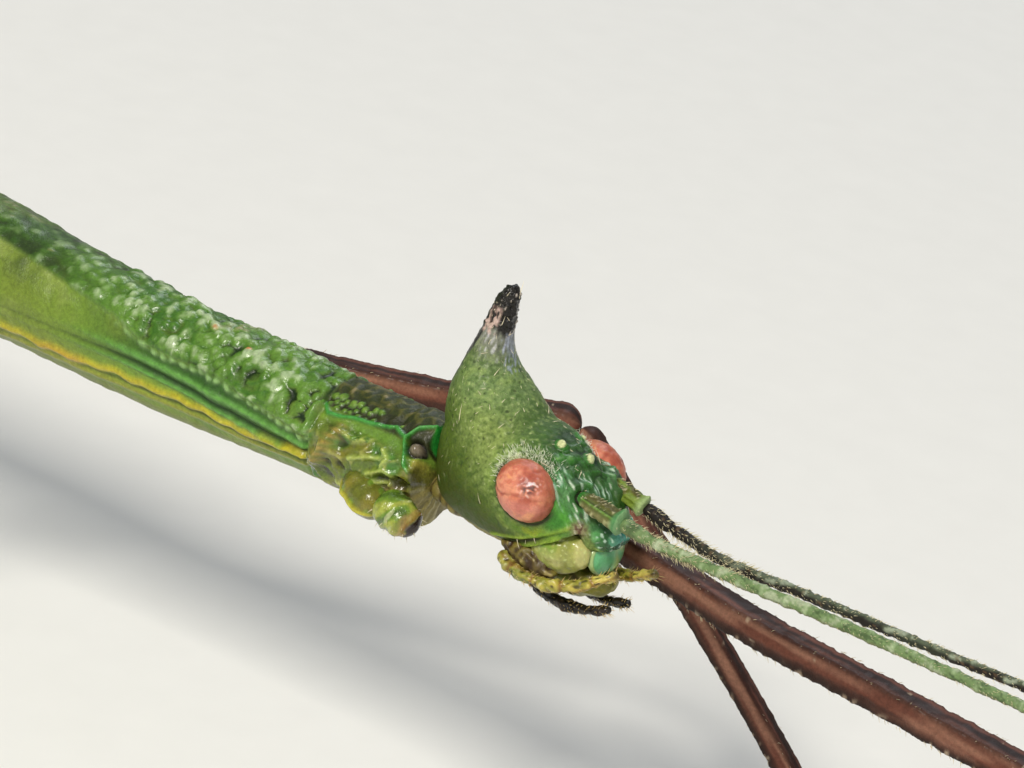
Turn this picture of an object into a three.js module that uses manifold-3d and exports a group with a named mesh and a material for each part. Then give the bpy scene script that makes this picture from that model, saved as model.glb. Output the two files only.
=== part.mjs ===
// Horned stick insect (a wingless female), life size, standing still on a floor.
// Millimetres. The insect faces +X, its left side is +Y, and the floor is Z = 0.
// The right foreleg ends in a healed stump at its trochanter.
import * as THREE from 'three';
import { mergeVertices } from 'three/addons/utils/BufferGeometryUtils.js';
import Module from 'manifold-3d';

const wasm = await Module();
wasm.setup();

// Driving dimensions. Stations along the body are X, from the line through both eyes.
const EYE_HEIGHT = 15;          // the eyes' centres above the floor
const GAP = 0.04;               // clearance between pieces that touch
const HEAD_BACK = -3.62;
const HEAD_FRONT = 1.92;
const PROTHORAX_FRONT = -3.95;
const MESOTHORAX_FRONT = -7.0;
const METATHORAX_FRONT = -24.2;
const ABDOMEN_FRONT = -36.2;
const ABDOMEN_LENGTHS = [7.4, 7.8, 7.9, 7.6, 6.9, 5.0, 2.7, 2.0, 1.9];   // segments 2 to 10
const SPINE_DROP = 1.6;         // the thorax axis below the eyes
const EYE_OUT = { right: 1.42, left: 1.5 };     // eye centres from the midline
const EYE_DROP = { right: 0.1, left: 0.35 };    // and below the eye height: the head rolls a little
const EYE_BACK = { right: 0.18, left: 0.07 };   // and behind the origin of the stations
const EYE_RADIUS = 0.79;
const EYE_SHAPE = [1.05, 0.86, 0.92];           // half sizes over the radius
const EYE_TILT = 0.6;           // the long way of each eye points down at the front
const HORN_TOP = 4.27;          // horn tip above the eyes
const SCAPE_RADIUS = 0.3;
const FEELER_RADIUS = 0.27;
const PALP_RADIUS = 0.25;
const COXA_RADIUS = 0.78;
const LOST_COXA_RADIUS = 0.5;   // the coxa of the lost foreleg
const STUMP_RADIUS = 0.53;
const FEMUR_RADIUS = { fore: 0.5, mid: 0.47, hind: 0.48 };
const TIBIA_RADIUS = 0.33;
const TARSUS_RADIUS = 0.27;
const TARSUS_LENGTH = 4.6;
const FOOT_SIDES = 6;           // six-sided, with one side down for a flat sole

const UP = new THREE.Vector3(0, 0, 1);
const FORWARD = new THREE.Vector3(1, 0, 0);

// A function that runs smoothly through [station, value] pairs, stations rising.
function through(pairs) {
  const slope = (i) => {
    const a = pairs[Math.max(i - 1, 0)];
    const b = pairs[Math.min(i + 1, pairs.length - 1)];
    return (b[1] - a[1]) / (b[0] - a[0]);
  };
  return (station) => {
    const s = THREE.MathUtils.clamp(station, pairs[0][0], pairs.at(-1)[0]);
    const i = Math.min(pairs.findIndex((pair, k) => k > 0 && s <= pair[0]), pairs.length - 1) - 1;
    const [x0, v0] = pairs[i];
    const [x1, v1] = pairs[i + 1];
    const width = x1 - x0;
    const t = (s - x0) / width;
    const rise = t * t * (3 - 2 * t);
    const lead = t * (1 - t) * (1 - t) * width * slope(i);
    const trail = t * t * (t - 1) * width * slope(i + 1);
    return v0 + (v1 - v0) * rise + lead + trail;
  };
}

// A closed body swept along a curve. reach(t, angle) is the distance from the curve to the
// skin; angle 0 points up and a quarter turn points to the right of the way the curve runs.
// Its sections stand square to the curve, or to facing where that is given.
function sweep(curve, reach, steps, sides, facing = null, upHint = UP) {
  const geometry = new THREE.CylinderGeometry(1, 1, 1, sides, steps);
  const place = geometry.attributes.position;
  for (let i = 0; i < place.count; i += 1) {
    const t = THREE.MathUtils.clamp(place.getY(i) + 0.5, 0, 1);
    const across = place.getX(i);
    const over = place.getZ(i);
    const tangent = facing ?? curve.getTangent(t);
    const right = new THREE.Vector3().crossVectors(tangent, upHint).normalize();
    const up = new THREE.Vector3().crossVectors(right, tangent);
    const distance = reach(t, Math.atan2(across, over));
    const point = curve.getPoint(t).addScaledVector(right, across * distance);
    point.addScaledVector(up, over * distance);
    place.setXYZ(i, point.x, point.y, point.z);
  }
  return closed(geometry);
}

// The same geometry with its shared corners joined, so that it is one closed surface.
function closed(geometry) {
  geometry.deleteAttribute('normal');
  geometry.deleteAttribute('uv');
  return mergeVertices(geometry, 1e-5);
}

// An ellipse's reach at an angle, with half-width and half-heights above and below.
function oval(angle, halfWidth, above, below) {
  const over = Math.cos(angle) > 0 ? above : below;
  return 1 / Math.hypot(Math.sin(angle) / halfWidth, Math.cos(angle) / over);
}

// A raised line along the body at one angle.
function ridge(angle, at, height, spread = 0.16) {
  const away = Math.atan2(Math.sin(angle - at), Math.cos(angle - at));
  return height * Math.exp(-((away / spread) ** 2));
}

function toManifold(geometry) {
  return new wasm.Manifold(new wasm.Mesh({
    numProp: 3,
    vertProperties: Float32Array.from(geometry.attributes.position.array),
    triVerts: Uint32Array.from(geometry.index.array),
  }));
}

// What is left of a piece after each neighbour has been cut away from it.
function carve(geometry, neighbours) {
  let body = toManifold(geometry);
  for (const neighbour of neighbours) body = body.subtract(toManifold(neighbour));
  const largest = body.decompose().sort((a, b) => b.volume() - a.volume())[0];
  const mesh = largest.getMesh();
  const cut = new THREE.BufferGeometry();
  cut.setAttribute('position', new THREE.Float32BufferAttribute(mesh.vertProperties, 3));
  cut.setIndex(Array.from(mesh.triVerts));
  return cut;
}

const insect = new THREE.Group();
insect.position.z = EYE_HEIGHT;

function add(name, geometry, colour, roughness = 0.55) {
  geometry.computeVertexNormals();
  const material = new THREE.MeshStandardMaterial({ color: colour, roughness, metalness: 0 });
  const mesh = new THREE.Mesh(geometry, material);
  mesh.name = name;
  insect.add(mesh);
}

const point = (x, y, z) => new THREE.Vector3(x, y, z);
const route = (points) => new THREE.CatmullRomCurve3(points, false, 'centripetal');
const SIDES = [['right', -1], ['left', 1]];

// The trunk: one outline for the whole body, read slice by slice.
const abdomenEnds = [ABDOMEN_FRONT];
for (const length of ABDOMEN_LENGTHS) abdomenEnds.push(abdomenEnds.at(-1) - length);
const BODY_END = abdomenEnds.at(-1);

const spineHeight = through([
  [BODY_END, -4.4], [-72, -3.3], [-58, -2.4], [-44, -1.9], [-30, -SPINE_DROP], [-20, -SPINE_DROP],
  [-12, -SPINE_DROP - 0.1], [-6, -SPINE_DROP], [-3, -SPINE_DROP + 0.1],
]);
const trunkHalfWidth = through([
  [BODY_END, 0.75], [BODY_END + 1.4, 1.05], [-80, 1.22], [-76, 1.2], [-68, 1.28], [-56, 1.42],
  [-44, 1.55], [-36.2, 1.66], [-33.5, 1.95], [-30, 1.72], [-26, 1.72], [-22.5, 1.98], [-19, 1.7],
  [-15, 1.4], [-8, 1.32], [-6.8, 1.38], [-5.2, 1.34], [-3.9, 1.22],
]);
const trunkHalfHeight = through([
  [BODY_END, 0.7], [BODY_END + 1.4, 0.95], [-80, 1.15], [-68, 1.25], [-56, 1.38], [-44, 1.5],
  [-36.2, 1.55], [-30, 1.62], [-22.5, 1.78], [-19, 1.68], [-15, 1.42], [-8, 1.3], [-5.2, 1.38], [-3.9, 1.36],
]);
const BELLY = { station: -13, length: 5, depth: 0.3 };   // the low keel under the mesothorax

function trunkReach(x, angle) {
  const round = oval(angle, trunkHalfWidth(x), trunkHalfHeight(x), trunkHalfHeight(x));
  const keels = ridge(angle, Math.PI / 2, 0.1) + ridge(angle, -Math.PI / 2, 0.1) + ridge(angle, 0, 0.06);
  const underside = THREE.MathUtils.smoothstep(-Math.cos(angle), 0.5, 1);
  const belly = BELLY.depth * Math.exp(-(((x - BELLY.station) / BELLY.length) ** 2)) * underside;
  return round * 0.985 + keels + belly;
}

// One slice of the trunk, from its front station to its rear one, swelling a little at each end.
function trunkSlice(front, back, steps, sides, shape = () => 0, grow = 0) {
  const from = front - GAP / 2;
  const to = back + GAP / 2;
  const line = route([0, 0.25, 0.5, 0.75, 1].map((t) => {
    const x = THREE.MathUtils.lerp(to, from, t);
    return point(x, 0, spineHeight(x));
  }));
  const reach = (t, angle) => {
    const x = THREE.MathUtils.lerp(to, from, t);
    return trunkReach(x, angle) + shape(t, angle) + grow;
  };
  return sweep(line, reach, steps, sides, FORWARD);
}

// A rounded rise round a piece at one share of its length.
const bulge = (t, at, spread, height) => height * Math.exp(-(((t - at) / spread) ** 2));

const ringed = (t) => bulge(t, 0.03, 0.05, 0.08) - bulge(t, 1, 0.06, 0.07);

// Rows of low warts on the back, tallest near the middle line.
function warty(t, angle) {
  const upward = Math.max(Math.cos(angle), 0);
  return 0.06 * upward * Math.sin(t * 61) * Math.cos(angle * 7);
}

add('neck', sweep(
  route([point(PROTHORAX_FRONT + GAP, 0, -1.5), point(HEAD_BACK - GAP, 0, -1.3)]),
  (t, angle) => oval(angle, 1.05, 1.0, 0.85) - 0.06 * Math.sin(Math.PI * t), 2, 16, FORWARD,
), '#9c8656');
add('prothorax', trunkSlice(PROTHORAX_FRONT, MESOTHORAX_FRONT, 8, 18, (t, angle) => (
  bulge(t, 0.55, 0.1, 0.08) + ridge(angle, 0.55, 0.07) + ridge(angle, -0.55, 0.07)
)), '#5f7a30');
add('mesothorax', trunkSlice(MESOTHORAX_FRONT, METATHORAX_FRONT, 12, 18, (t, angle) => (
  warty(t, angle) + bulge(t, 0.97, 0.05, 0.1)
)), '#4f8a3a');
add('metathorax', trunkSlice(METATHORAX_FRONT, ABDOMEN_FRONT, 8, 18, (t, angle) => (
  0.7 * warty(t, angle) + bulge(t, 0.42, 0.05, 0.08)
)), '#52863c');
ABDOMEN_LENGTHS.forEach((length, i) => {
  const steps = length > 4 ? 4 : 3;
  const slice = trunkSlice(abdomenEnds[i], abdomenEnds[i + 1], steps, 12, ringed);
  add(`abdomen_${i + 2}`, slice, '#5b7f3a');
});

// The keeled plate under the last segments, and the two short feelers at the tail.
const plateFront = abdomenEnds[6] + 0.4;
const plateLine = route([
  point(BODY_END + 0.3, 0, spineHeight(BODY_END) - 1.05),
  point((plateFront + BODY_END) / 2, 0, spineHeight(-82) - 1.2),
  point(plateFront, 0, spineHeight(plateFront) - 0.9),
]);
const tailSlices = [5, 6, 7, 8].map((i) => (
  trunkSlice(abdomenEnds[i], abdomenEnds[i + 1], ABDOMEN_LENGTHS[i] > 4 ? 4 : 3, 12, ringed, GAP)
));
add('operculum', carve(sweep(plateLine, (t, angle) => (
  oval(angle, 0.85, 0.5, 0.62) * Math.sin(Math.PI * (0.08 + 0.86 * t)) ** 0.6
), 6, 8), tailSlices), '#5d6e2c');
for (const [side, sign] of SIDES) {
  const root = point(BODY_END + 0.2, 0.42 * sign, spineHeight(BODY_END) + 0.25);
  const tip = point(BODY_END - 1.3, 0.6 * sign, spineHeight(BODY_END) + 0.05);
  const feeler = sweep(route([tip, root]), (t) => 0.27 * (0.55 + 0.45 * t), 3, 8);
  add(`cercus_${side}`, carve(feeler, [tailSlices[3]]), '#6d7a35');
}

// The head: a domed capsule, widest just behind the eyes, sloping down to the mouth.
const headTop = through([
  [HEAD_BACK, 0.3], [-3.3, 0.75], [-3.0, 0.98], [-2.0, 1.22], [-1.0, 1.16], [0, 0.96], [0.6, 0.64],
  [1.1, 0.17], [1.55, -0.38], [HEAD_FRONT, -0.85],
]);
const headBottom = through([
  [HEAD_BACK, -1.5], [-3.3, -1.95], [-3.0, -2.14], [-2.5, -2.3], [-2.0, -2.38], [-1.0, -2.36], [0, -2.2],
  [0.6, -2.0], [1.1, -1.72], [1.55, -1.45], [HEAD_FRONT, -1.3],
]);
const headHalfWidth = through([
  [HEAD_BACK, 0.5], [-3.3, 0.86], [-3.0, 1.07], [-2.5, 1.29], [-2.0, 1.43], [-1.0, 1.56], [0, 1.5],
  [0.6, 1.36], [1.1, 1.14], [1.6, 0.84], [HEAD_FRONT, 0.55],
]);

function head(grow) {
  const middle = (x) => (headTop(x) + headBottom(x)) / 2;
  const stations = [0, 0.06, 0.14, 0.28, 0.45, 0.6, 0.75, 0.88, 1];
  const line = route(stations.map((t) => {
    const x = THREE.MathUtils.lerp(HEAD_BACK - grow, HEAD_FRONT + grow, t);
    return point(x, 0, middle(x));
  }));
  return sweep(line, (t, angle) => {
    const x = line.getPoint(t).x;
    const halfHeight = (headTop(x) - headBottom(x)) / 2;
    const brow = ridge(angle, 0.75, 0.06, 0.3) + ridge(angle, -0.75, 0.06, 0.3);
    return oval(angle, headHalfWidth(x), halfHeight, halfHeight) + brow + grow;
  }, 15, 18, FORWARD);
}

function eye(side, sign, grow) {
  const ball = new THREE.SphereGeometry(EYE_RADIUS + grow, 12, 8);
  ball.rotateX(Math.PI / 2 * sign);
  ball.scale(...EYE_SHAPE);
  ball.rotateY(EYE_TILT);
  ball.translate(-EYE_BACK[side], EYE_OUT[side] * sign, -EYE_DROP[side]);
  return closed(ball);
}
const eyeSockets = SIDES.map(([side, sign]) => eye(side, sign, GAP));
add('head', carve(head(0), eyeSockets), '#5e8a35', 0.4);
for (const [side, sign] of SIDES) add(`eye_${side}`, eye(side, sign, 0), '#cf745e', 0.3);

// The horn stands on the crown. Its front sweeps down into the head in a long hollow curve.
const hornBack = through([
  [0, -3.6], [0.3, -3.72], [0.9, -3.74], [2.2, -3.4], [3.3, -3.05], [4.0, -2.8], [HORN_TOP, -2.62],
]);
const hornFront = through([
  [0, -0.3], [0.3, -0.15], [0.9, -0.6], [1.3, -1.12], [2.0, -1.95], [2.6, -2.26], [3.3, -2.34], [4.0, -2.3],
  [HORN_TOP, -2.36],
]);
const hornSpine = new THREE.LineCurve3(point(0, 0, 0), point(0, 0, HORN_TOP));
const horn = sweep(hornSpine, () => 1, 9, 12, UP, FORWARD);
{
  const place = horn.attributes.position;
  for (let i = 0; i < place.count; i += 1) {
    const z = place.getZ(i);
    const middle = (hornBack(z) + hornFront(z)) / 2;
    const halfLength = (hornFront(z) - hornBack(z)) / 2;
    const drawnIn = 0.4 * THREE.MathUtils.smoothstep(-z, -0.7, 0);
    const halfWidth = Math.min(halfLength, 0.34 + 0.24 * (HORN_TOP - z) - drawnIn);
    place.setXYZ(i, middle + place.getX(i) * halfLength, place.getY(i) * halfWidth, z);
  }
}
add('horn', carve(horn, [head(GAP)]), '#6f8560', 0.45);

// Mouthparts: two bulging mandibles behind the upper lip, with the palps beside them.
function mandible(sign, grow) {
  const lobe = new THREE.SphereGeometry(1, 10, 6);
  lobe.scale(0.95 + grow, 0.45 + grow, 0.62 + grow);
  lobe.rotateY(-0.16);
  lobe.translate(0.62, 0.76 * sign, -1.56);
  return closed(lobe);
}
function upperLip(grow) {
  const plate = new THREE.SphereGeometry(1, 10, 6);
  plate.scale(0.24 + grow, 0.7 + grow, 0.5 + grow);
  plate.rotateY(-0.2);
  plate.translate(1.58, 0, -1.55);
  return closed(plate);
}
function lowerLip(grow) {
  const plate = new THREE.SphereGeometry(1, 10, 6);
  plate.scale(1.25 + grow, 0.72 + grow, 0.5 + grow);
  plate.rotateY(-0.03);
  plate.translate(0.75, 0, -2.38);
  return closed(plate);
}
add('labrum', carve(upperLip(0), [head(GAP)]), '#3f8e66', 0.3);
for (const [side, sign] of SIDES) {
  const others = [head(GAP), upperLip(GAP)];
  if (sign > 0) others.push(mandible(-1, GAP));
  add(`mandible_${side}`, carve(mandible(sign, 0), others), '#b0ae62', 0.35);
}
const aboveLabium = [head(GAP), mandible(1, GAP), mandible(-1, GAP), upperLip(GAP)];
add('labium', carve(lowerLip(0), aboveLabium), '#6f7433', 0.5);

// The palps: a long jointed pair beside the jaws and a short pair under the lower lip.
const PALP_PATHS = {
  maxillary_palp_right: [[-0.75, -1.15, -2.12], [-0.3, -1.3, -2.33], [0.48, -1.3, -2.38],
    [1.15, -1.15, -2.3], [1.62, -0.88, -2.14], [1.95, -0.6, -1.95], [2.26, -0.34, -1.74]],
  maxillary_palp_left: [[-0.75, 1.15, -2.12], [-0.3, 1.3, -2.33], [0.48, 1.28, -2.42],
    [1.3, 0.98, -2.42], [1.93, 0.6, -2.2], [2.45, 0.45, -1.93], [2.93, 0.4, -1.66]],
  labial_palp_right: [[-0.35, -0.5, -2.72], [0.15, -0.58, -2.92], [0.54, -0.6, -3.0], [1.16, -0.6, -3.02],
    [1.86, -0.6, -2.84], [2.37, -0.58, -2.6]],
  labial_palp_left: [[-0.35, 0.5, -2.72], [0.15, 0.58, -2.92], [0.54, 0.6, -3.02], [1.16, 0.56, -3.06],
    [1.7, 0.52, -3.02], [2.25, 0.5, -2.84]],
};
const along = (places) => route(places.map((place) => point(...place)));
const palp = (path, grow) => sweep(along(path), (t) => PALP_RADIUS * (1 - 0.2 * t ** 4) + grow, 8, 6);
const mouth = [...aboveLabium, lowerLip(GAP)];
const palpsBefore = [];
for (const [name, path] of Object.entries(PALP_PATHS)) {
  const others = [...mouth, ...palpsBefore];
  add(name, carve(palp(path, 0), others), name.startsWith('labial') ? '#231d16' : '#b9a23e');
  palpsBefore.push(palp(path, GAP));
}

// The antennae: a stout scape and pedicel, then a long feeler in three lengths.
const ANTENNA_PATHS = {
  right: [[0.94, -0.72, 0.04], [2.35, -0.82, -0.1], [3.1, -0.86, -0.17], [5, -0.9, -0.14], [9, -0.92, 0.02],
    [14, -1.0, 0.15], [24, -1.9, 0.6], [38, -4.6, 0.9], [53, -9.0, 0.1]],
  left: [[0.8, 0.7, 0.04], [1.96, 0.85, -0.35], [2.9, 0.9, -0.6], [4, 0.92, -0.78], [7, 0.92, -0.68],
    [13, 1.0, -0.46], [24, 2.2, -0.2], [38, 5.6, -0.5], [52.4, 11.0, -1.6]],
};
// Each antenna's lengths, as shares of the whole from its socket to its tip.
const ANTENNA_CUTS = {
  scape: [0, 0.026], flagellum_1: [0.028, 0.26], flagellum_2: [0.261, 0.62], flagellum_3: [0.621, 1],
};
for (const [side] of SIDES) {
  const whole = along(ANTENNA_PATHS[side]);
  for (const [name, [from, to]] of Object.entries(ANTENNA_CUTS)) {
    const stout = name === 'scape';
    const steps = stout ? 4 : 8;
    const share = (t) => from + (to - from) * t;
    const places = Array.from({ length: steps + 1 }, (_, i) => whole.getPointAt(share(i / steps)));
    const reach = (t) => (stout ? SCAPE_RADIUS + 0.05 * t : FEELER_RADIUS * (1 - 0.06 * share(t)));
    const length = sweep(route(places), reach, steps, stout ? 8 : 6);
    const finished = stout ? carve(length, [head(GAP)]) : length;
    add(`${side}_${name}`, finished, side === 'right' ? '#7fa860' : '#5c5f45');
  }
}

// The legs. Each is given by its coxa, knee and ankle, and by the way its foot points.
const LEGS = {
  left_fore: {
    hip: [-5.0, 0.75, -2.35], turn: [-5.05, 1.5, -2.8],
    bend: [[-3.8, 1.85, -2.45], [-1.6, 2.06, -2.05], [1.6, 2.03, -2.32], [4.5, 2.0, -2.7], [8.7, 2.0, -2.93]],
    knee: [20.4, 2.3, -3.85], ankle: [31.6, 3.9, -14.45], toe: [0.97, 0.24],
    kind: 'fore', colour: '#8a5546',
  },
  left_mid: {
    hip: [-21.6, 1.0, -2.3], turn: [-21.3, 1.9, -3.1],
    bend: [[-20, 2.3, -3.15], [-12, 4.4, -2.85]],
    knee: [-4.2, 7.0, -2.3], ankle: [6.7, 9.7, -14.45], toe: [0.93, 0.37],
    kind: 'mid', colour: '#8a6a4c',
  },
  right_mid: {
    hip: [-21.6, -1.0, -2.3], turn: [-21.9, -2.0, -3.0],
    bend: [[-22.8, -3.2, -2.7], [-27.2, -9.4, -0.7]],
    knee: [-31.2, -15.4, 1.3], ankle: [-33.4, -21.0, -14.45], toe: [-0.2, -0.98],
    kind: 'mid', colour: '#6f7a3c',
  },
  left_hind: {
    hip: [-33.4, 1.0, -2.3], turn: [-33.9, 1.95, -3.0],
    bend: [[-35.2, 2.9, -2.7], [-43.5, 7.4, -0.9]],
    knee: [-53.6, 12.8, 1.2], ankle: [-66.5, 18.6, -14.45], toe: [-0.94, 0.34],
    kind: 'hind', colour: '#6f7a3c',
  },
  right_hind: {
    hip: [-33.4, -1.0, -2.3], turn: [-33.8, -1.95, -3.0],
    bend: [[-34.9, -3.0, -2.7], [-41.8, -8.6, -0.9]],
    knee: [-49.6, -15.0, 1.2], ankle: [-60.4, -23.0, -14.45], toe: [-0.85, -0.53],
    kind: 'hind', colour: '#6f7a3c',
  },
};

// The reach of a square with rounded corners, for a limb with four lengthwise keels.
const CORNERS = 3.2;
const squared = (angle) => (
  1 / (Math.abs(Math.cos(angle)) ** CORNERS + Math.abs(Math.sin(angle)) ** CORNERS) ** (1 / CORNERS)
);
const nearTrunk = [
  trunkSlice(PROTHORAX_FRONT, MESOTHORAX_FRONT, 9, 20, () => 0.12, GAP),
  trunkSlice(MESOTHORAX_FRONT, METATHORAX_FRONT, 15, 20, () => 0.1, GAP),
  trunkSlice(METATHORAX_FRONT, ABDOMEN_FRONT, 11, 20, () => 0.1, GAP),
];

function coxa(hip, turn, grow) {
  return sweep(route([hip, turn]), (t) => COXA_RADIUS * (1.05 - 0.2 * t) + grow, 2, 9, null, FORWARD);
}

for (const [name, leg] of Object.entries(LEGS)) {
  const hip = point(...leg.hip);
  const turn = point(...leg.turn);
  const knee = point(...leg.knee);
  const ankle = point(...leg.ankle);
  const bend = leg.bend.map((place) => point(...place));
  const radius = FEMUR_RADIUS[leg.kind];
  const hinge = turn.clone().addScaledVector(bend[0].clone().sub(turn).normalize(), 0.1);

  const femurLine = route([hinge, ...bend, knee]);
  const femurReach = (t) => 0.94 * radius * (1 - 0.12 * Math.sin(Math.PI * t) + bulge(t, 0.97, 0.03, 0.12));
  const femur = (grow) => sweep(femurLine, (t, angle) => femurReach(t) * squared(angle) + grow, 10, 8);
  add(`${name}_coxa`, carve(coxa(hip, turn, 0), nearTrunk), '#8c8a3a');
  const besideFemur = [coxa(hip, turn, GAP), ...nearTrunk];
  if (leg.kind === 'fore') besideFemur.push(head(GAP), mandible(1, GAP));
  add(`${name}_femur`, carve(femur(0), besideFemur), leg.colour);

  const shin = knee.clone().lerp(ankle, 0.5);
  shin.z += 0.35;
  const tibiaLine = route([knee.clone().lerp(ankle, 0.004), shin, ankle]);
  const tibiaReach = (t) => TIBIA_RADIUS * (1 + bulge(t, 0, 0.06, 0.12) + 0.15 * t ** 8);
  const tibia = (grow) => sweep(tibiaLine, (t, angle) => tibiaReach(t) * squared(angle) + grow, 7, 6);
  add(`${name}_tibia`, carve(tibia(0), [femur(GAP)]), leg.colour);

  // The foot: a row of small joints with a flat sole.
  const ahead = point(leg.toe[0], leg.toe[1], 0).normalize();
  const heel = ankle.clone().addScaledVector(ahead, 0.15);
  heel.z = TARSUS_RADIUS * 0.7 - EYE_HEIGHT;
  const tilted = UP.clone().applyAxisAngle(ahead, Math.PI / FOOT_SIDES);
  const sole = [0, 0.35, 0.7, 1].map((t) => heel.clone().addScaledVector(ahead, t * TARSUS_LENGTH));
  const beads = (t) => 0.86 + 0.16 * Math.cos(2 * Math.PI * Math.sqrt(t) * 4) + bulge(t, 0.96, 0.05, 0.12);
  const foot = sweep(route(sole), (t) => TARSUS_RADIUS * beads(t), 12, FOOT_SIDES, null, tilted);
  const place = foot.attributes.position;
  for (let i = 0; i < place.count; i += 1) place.setZ(i, Math.max(place.getZ(i), -EYE_HEIGHT));
  add(`${name}_tarsus`, carve(foot, [tibia(GAP)]), '#6a5a3c');
}

// The right foreleg is lost: only its coxa and a rounded, scabbed trochanter remain.
const lostCoxaLine = along([[-5.75, -1.0, -1.95], [-5.0, -1.33, -2.22], [-4.25, -1.58, -2.42]]);
const lostCoxa = (grow) => sweep(lostCoxaLine, () => LOST_COXA_RADIUS + grow, 3, 10);
const stumpLine = along([[-4.42, -1.52, -2.12], [-3.8, -1.6, -2.2], [-3.08, -1.62, -2.42]]);
add('right_fore_coxa', carve(lostCoxa(0), nearTrunk), '#a39a3c');
add('right_fore_stump', carve(
  sweep(stumpLine, (t) => STUMP_RADIUS * Math.sqrt(1 - 0.72 * t ** 4), 5, 10),
  [lostCoxa(GAP), ...nearTrunk, head(GAP)],
), '#5f6a2c');

// The origin is the middle of the insect's outline on the floor.
insect.updateMatrixWorld(true);
const outline = new THREE.Box3().setFromObject(insect, true);
const middle = outline.getCenter(new THREE.Vector3());
insect.position.x = -middle.x;
insect.position.y = -middle.y;

const group = new THREE.Group();
group.add(insect);
export default group;
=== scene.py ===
# Horned stick insect, a wingless adult female, life size, standing on a pale floor. Its body,
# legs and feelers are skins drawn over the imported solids; every size below is in millimetres
# from the station origin: the middle of the line through both eyes, at the height of the eyes.
import math

import bmesh
import bpy
import numpy as np
from mathutils import Matrix, Vector, kdtree


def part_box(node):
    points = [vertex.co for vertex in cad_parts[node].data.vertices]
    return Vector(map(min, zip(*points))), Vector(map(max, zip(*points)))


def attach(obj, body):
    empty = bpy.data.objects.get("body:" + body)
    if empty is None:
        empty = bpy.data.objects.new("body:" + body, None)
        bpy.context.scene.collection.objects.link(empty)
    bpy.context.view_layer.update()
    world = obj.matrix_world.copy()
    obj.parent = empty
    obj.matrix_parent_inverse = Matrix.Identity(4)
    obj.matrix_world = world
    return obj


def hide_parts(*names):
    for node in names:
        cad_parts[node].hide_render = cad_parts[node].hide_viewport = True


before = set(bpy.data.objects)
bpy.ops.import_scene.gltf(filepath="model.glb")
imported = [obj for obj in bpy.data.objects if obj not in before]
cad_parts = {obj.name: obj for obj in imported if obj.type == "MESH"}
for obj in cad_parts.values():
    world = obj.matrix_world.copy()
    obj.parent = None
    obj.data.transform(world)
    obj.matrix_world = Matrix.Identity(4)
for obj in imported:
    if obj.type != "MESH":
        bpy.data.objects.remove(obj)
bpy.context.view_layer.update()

# ---------------------------------------------------------------------------------------------
# The stage: a plain pale floor, soft studio light, and the camera close in front of the insect's
# right side, a little above it and rolled clockwise.
MM = 0.001
SIDES = {"right": -1, "left": 1}             # the sign of y on each side of the body
EYE_BACKS = {"right": 0.18, "left": 0.07}    # how far each eye's middle is behind the origin
CAMERA_AZIMUTH = math.radians(33)
CAMERA_ELEVATION = math.radians(24)
CAMERA_ROLL = math.radians(10)
CAMERA_DISTANCE = 120
FRAME_WIDTH = 25.6          # width of the view at the head
AIM_BESIDE = 1.35           # the view's centre, to the left of the eyes
AIM_ABOVE = 2.275
FLOOR_HEX = "#E4E3DE"
FLOOR_SIZE = 1.6            # metres


def linear(hex_colour, alpha=1.0):
    """An sRGB hex colour as linear red, green, blue and alpha."""
    channels = [int(hex_colour[i : i + 2], 16) / 255 for i in (1, 3, 5)]
    curved = [c / 12.92 if c <= 0.04045 else ((c + 0.055) / 1.055) ** 2.4 for c in channels]
    return (*curved, alpha)


def add_node(tree, kind, links=(), **settings):
    """Adds a node; settings are its properties or inputs, links are (input, output socket)."""
    node = tree.nodes.new(kind)
    for key, value in settings.items():
        if hasattr(node, key):
            setattr(node, key, value)
        else:
            node.inputs[key.replace("_", " ")].default_value = value
    for socket, source in links:
        tree.links.new(node.inputs[socket], source)
    return node


def new_material(name):
    """An empty node material with its shader and output joined."""
    material = bpy.data.materials.new(name)
    material.use_nodes = True
    tree = material.node_tree
    tree.nodes.clear()
    shader = add_node(tree, "ShaderNodeBsdfPrincipled")
    add_node(tree, "ShaderNodeOutputMaterial", [("Surface", shader.outputs["BSDF"])])
    return material, tree, shader


# The middle of both eyes lies a little behind the station origin, to its left and below it.
FROM_EYES = (0.125, -0.04, 0.225)
eye_corners = [Vector(corner) for side in ("left", "right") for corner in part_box(f"eye_{side}")]
ORIGIN = sum(eye_corners, Vector()) / 4 + Vector(FROM_EYES) * MM

back = Vector((
    math.sin(CAMERA_AZIMUTH) * math.cos(CAMERA_ELEVATION),
    -math.cos(CAMERA_AZIMUTH) * math.cos(CAMERA_ELEVATION),
    math.sin(CAMERA_ELEVATION),
))
level = Vector((math.cos(CAMERA_AZIMUTH), math.sin(CAMERA_AZIMUTH), 0))
upright = back.cross(level)
rightward = level * math.cos(CAMERA_ROLL) + upright * math.sin(CAMERA_ROLL)
upward = upright * math.cos(CAMERA_ROLL) - level * math.sin(CAMERA_ROLL)
camera_place = ORIGIN + (back * CAMERA_DISTANCE - rightward * AIM_BESIDE + upward * AIM_ABOVE) * MM
camera = bpy.data.objects.new("camera", bpy.data.cameras.new("camera"))
camera.data.sensor_width = 36
camera.data.lens = camera.data.sensor_width * CAMERA_DISTANCE / FRAME_WIDTH
camera.data.clip_start, camera.data.clip_end = 0.01, 10
turn = Matrix((rightward, upward, back)).transposed().to_4x4()
camera.matrix_world = Matrix.Translation(camera_place) @ turn
bpy.context.scene.collection.objects.link(camera)
bpy.context.scene.camera = camera

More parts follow.
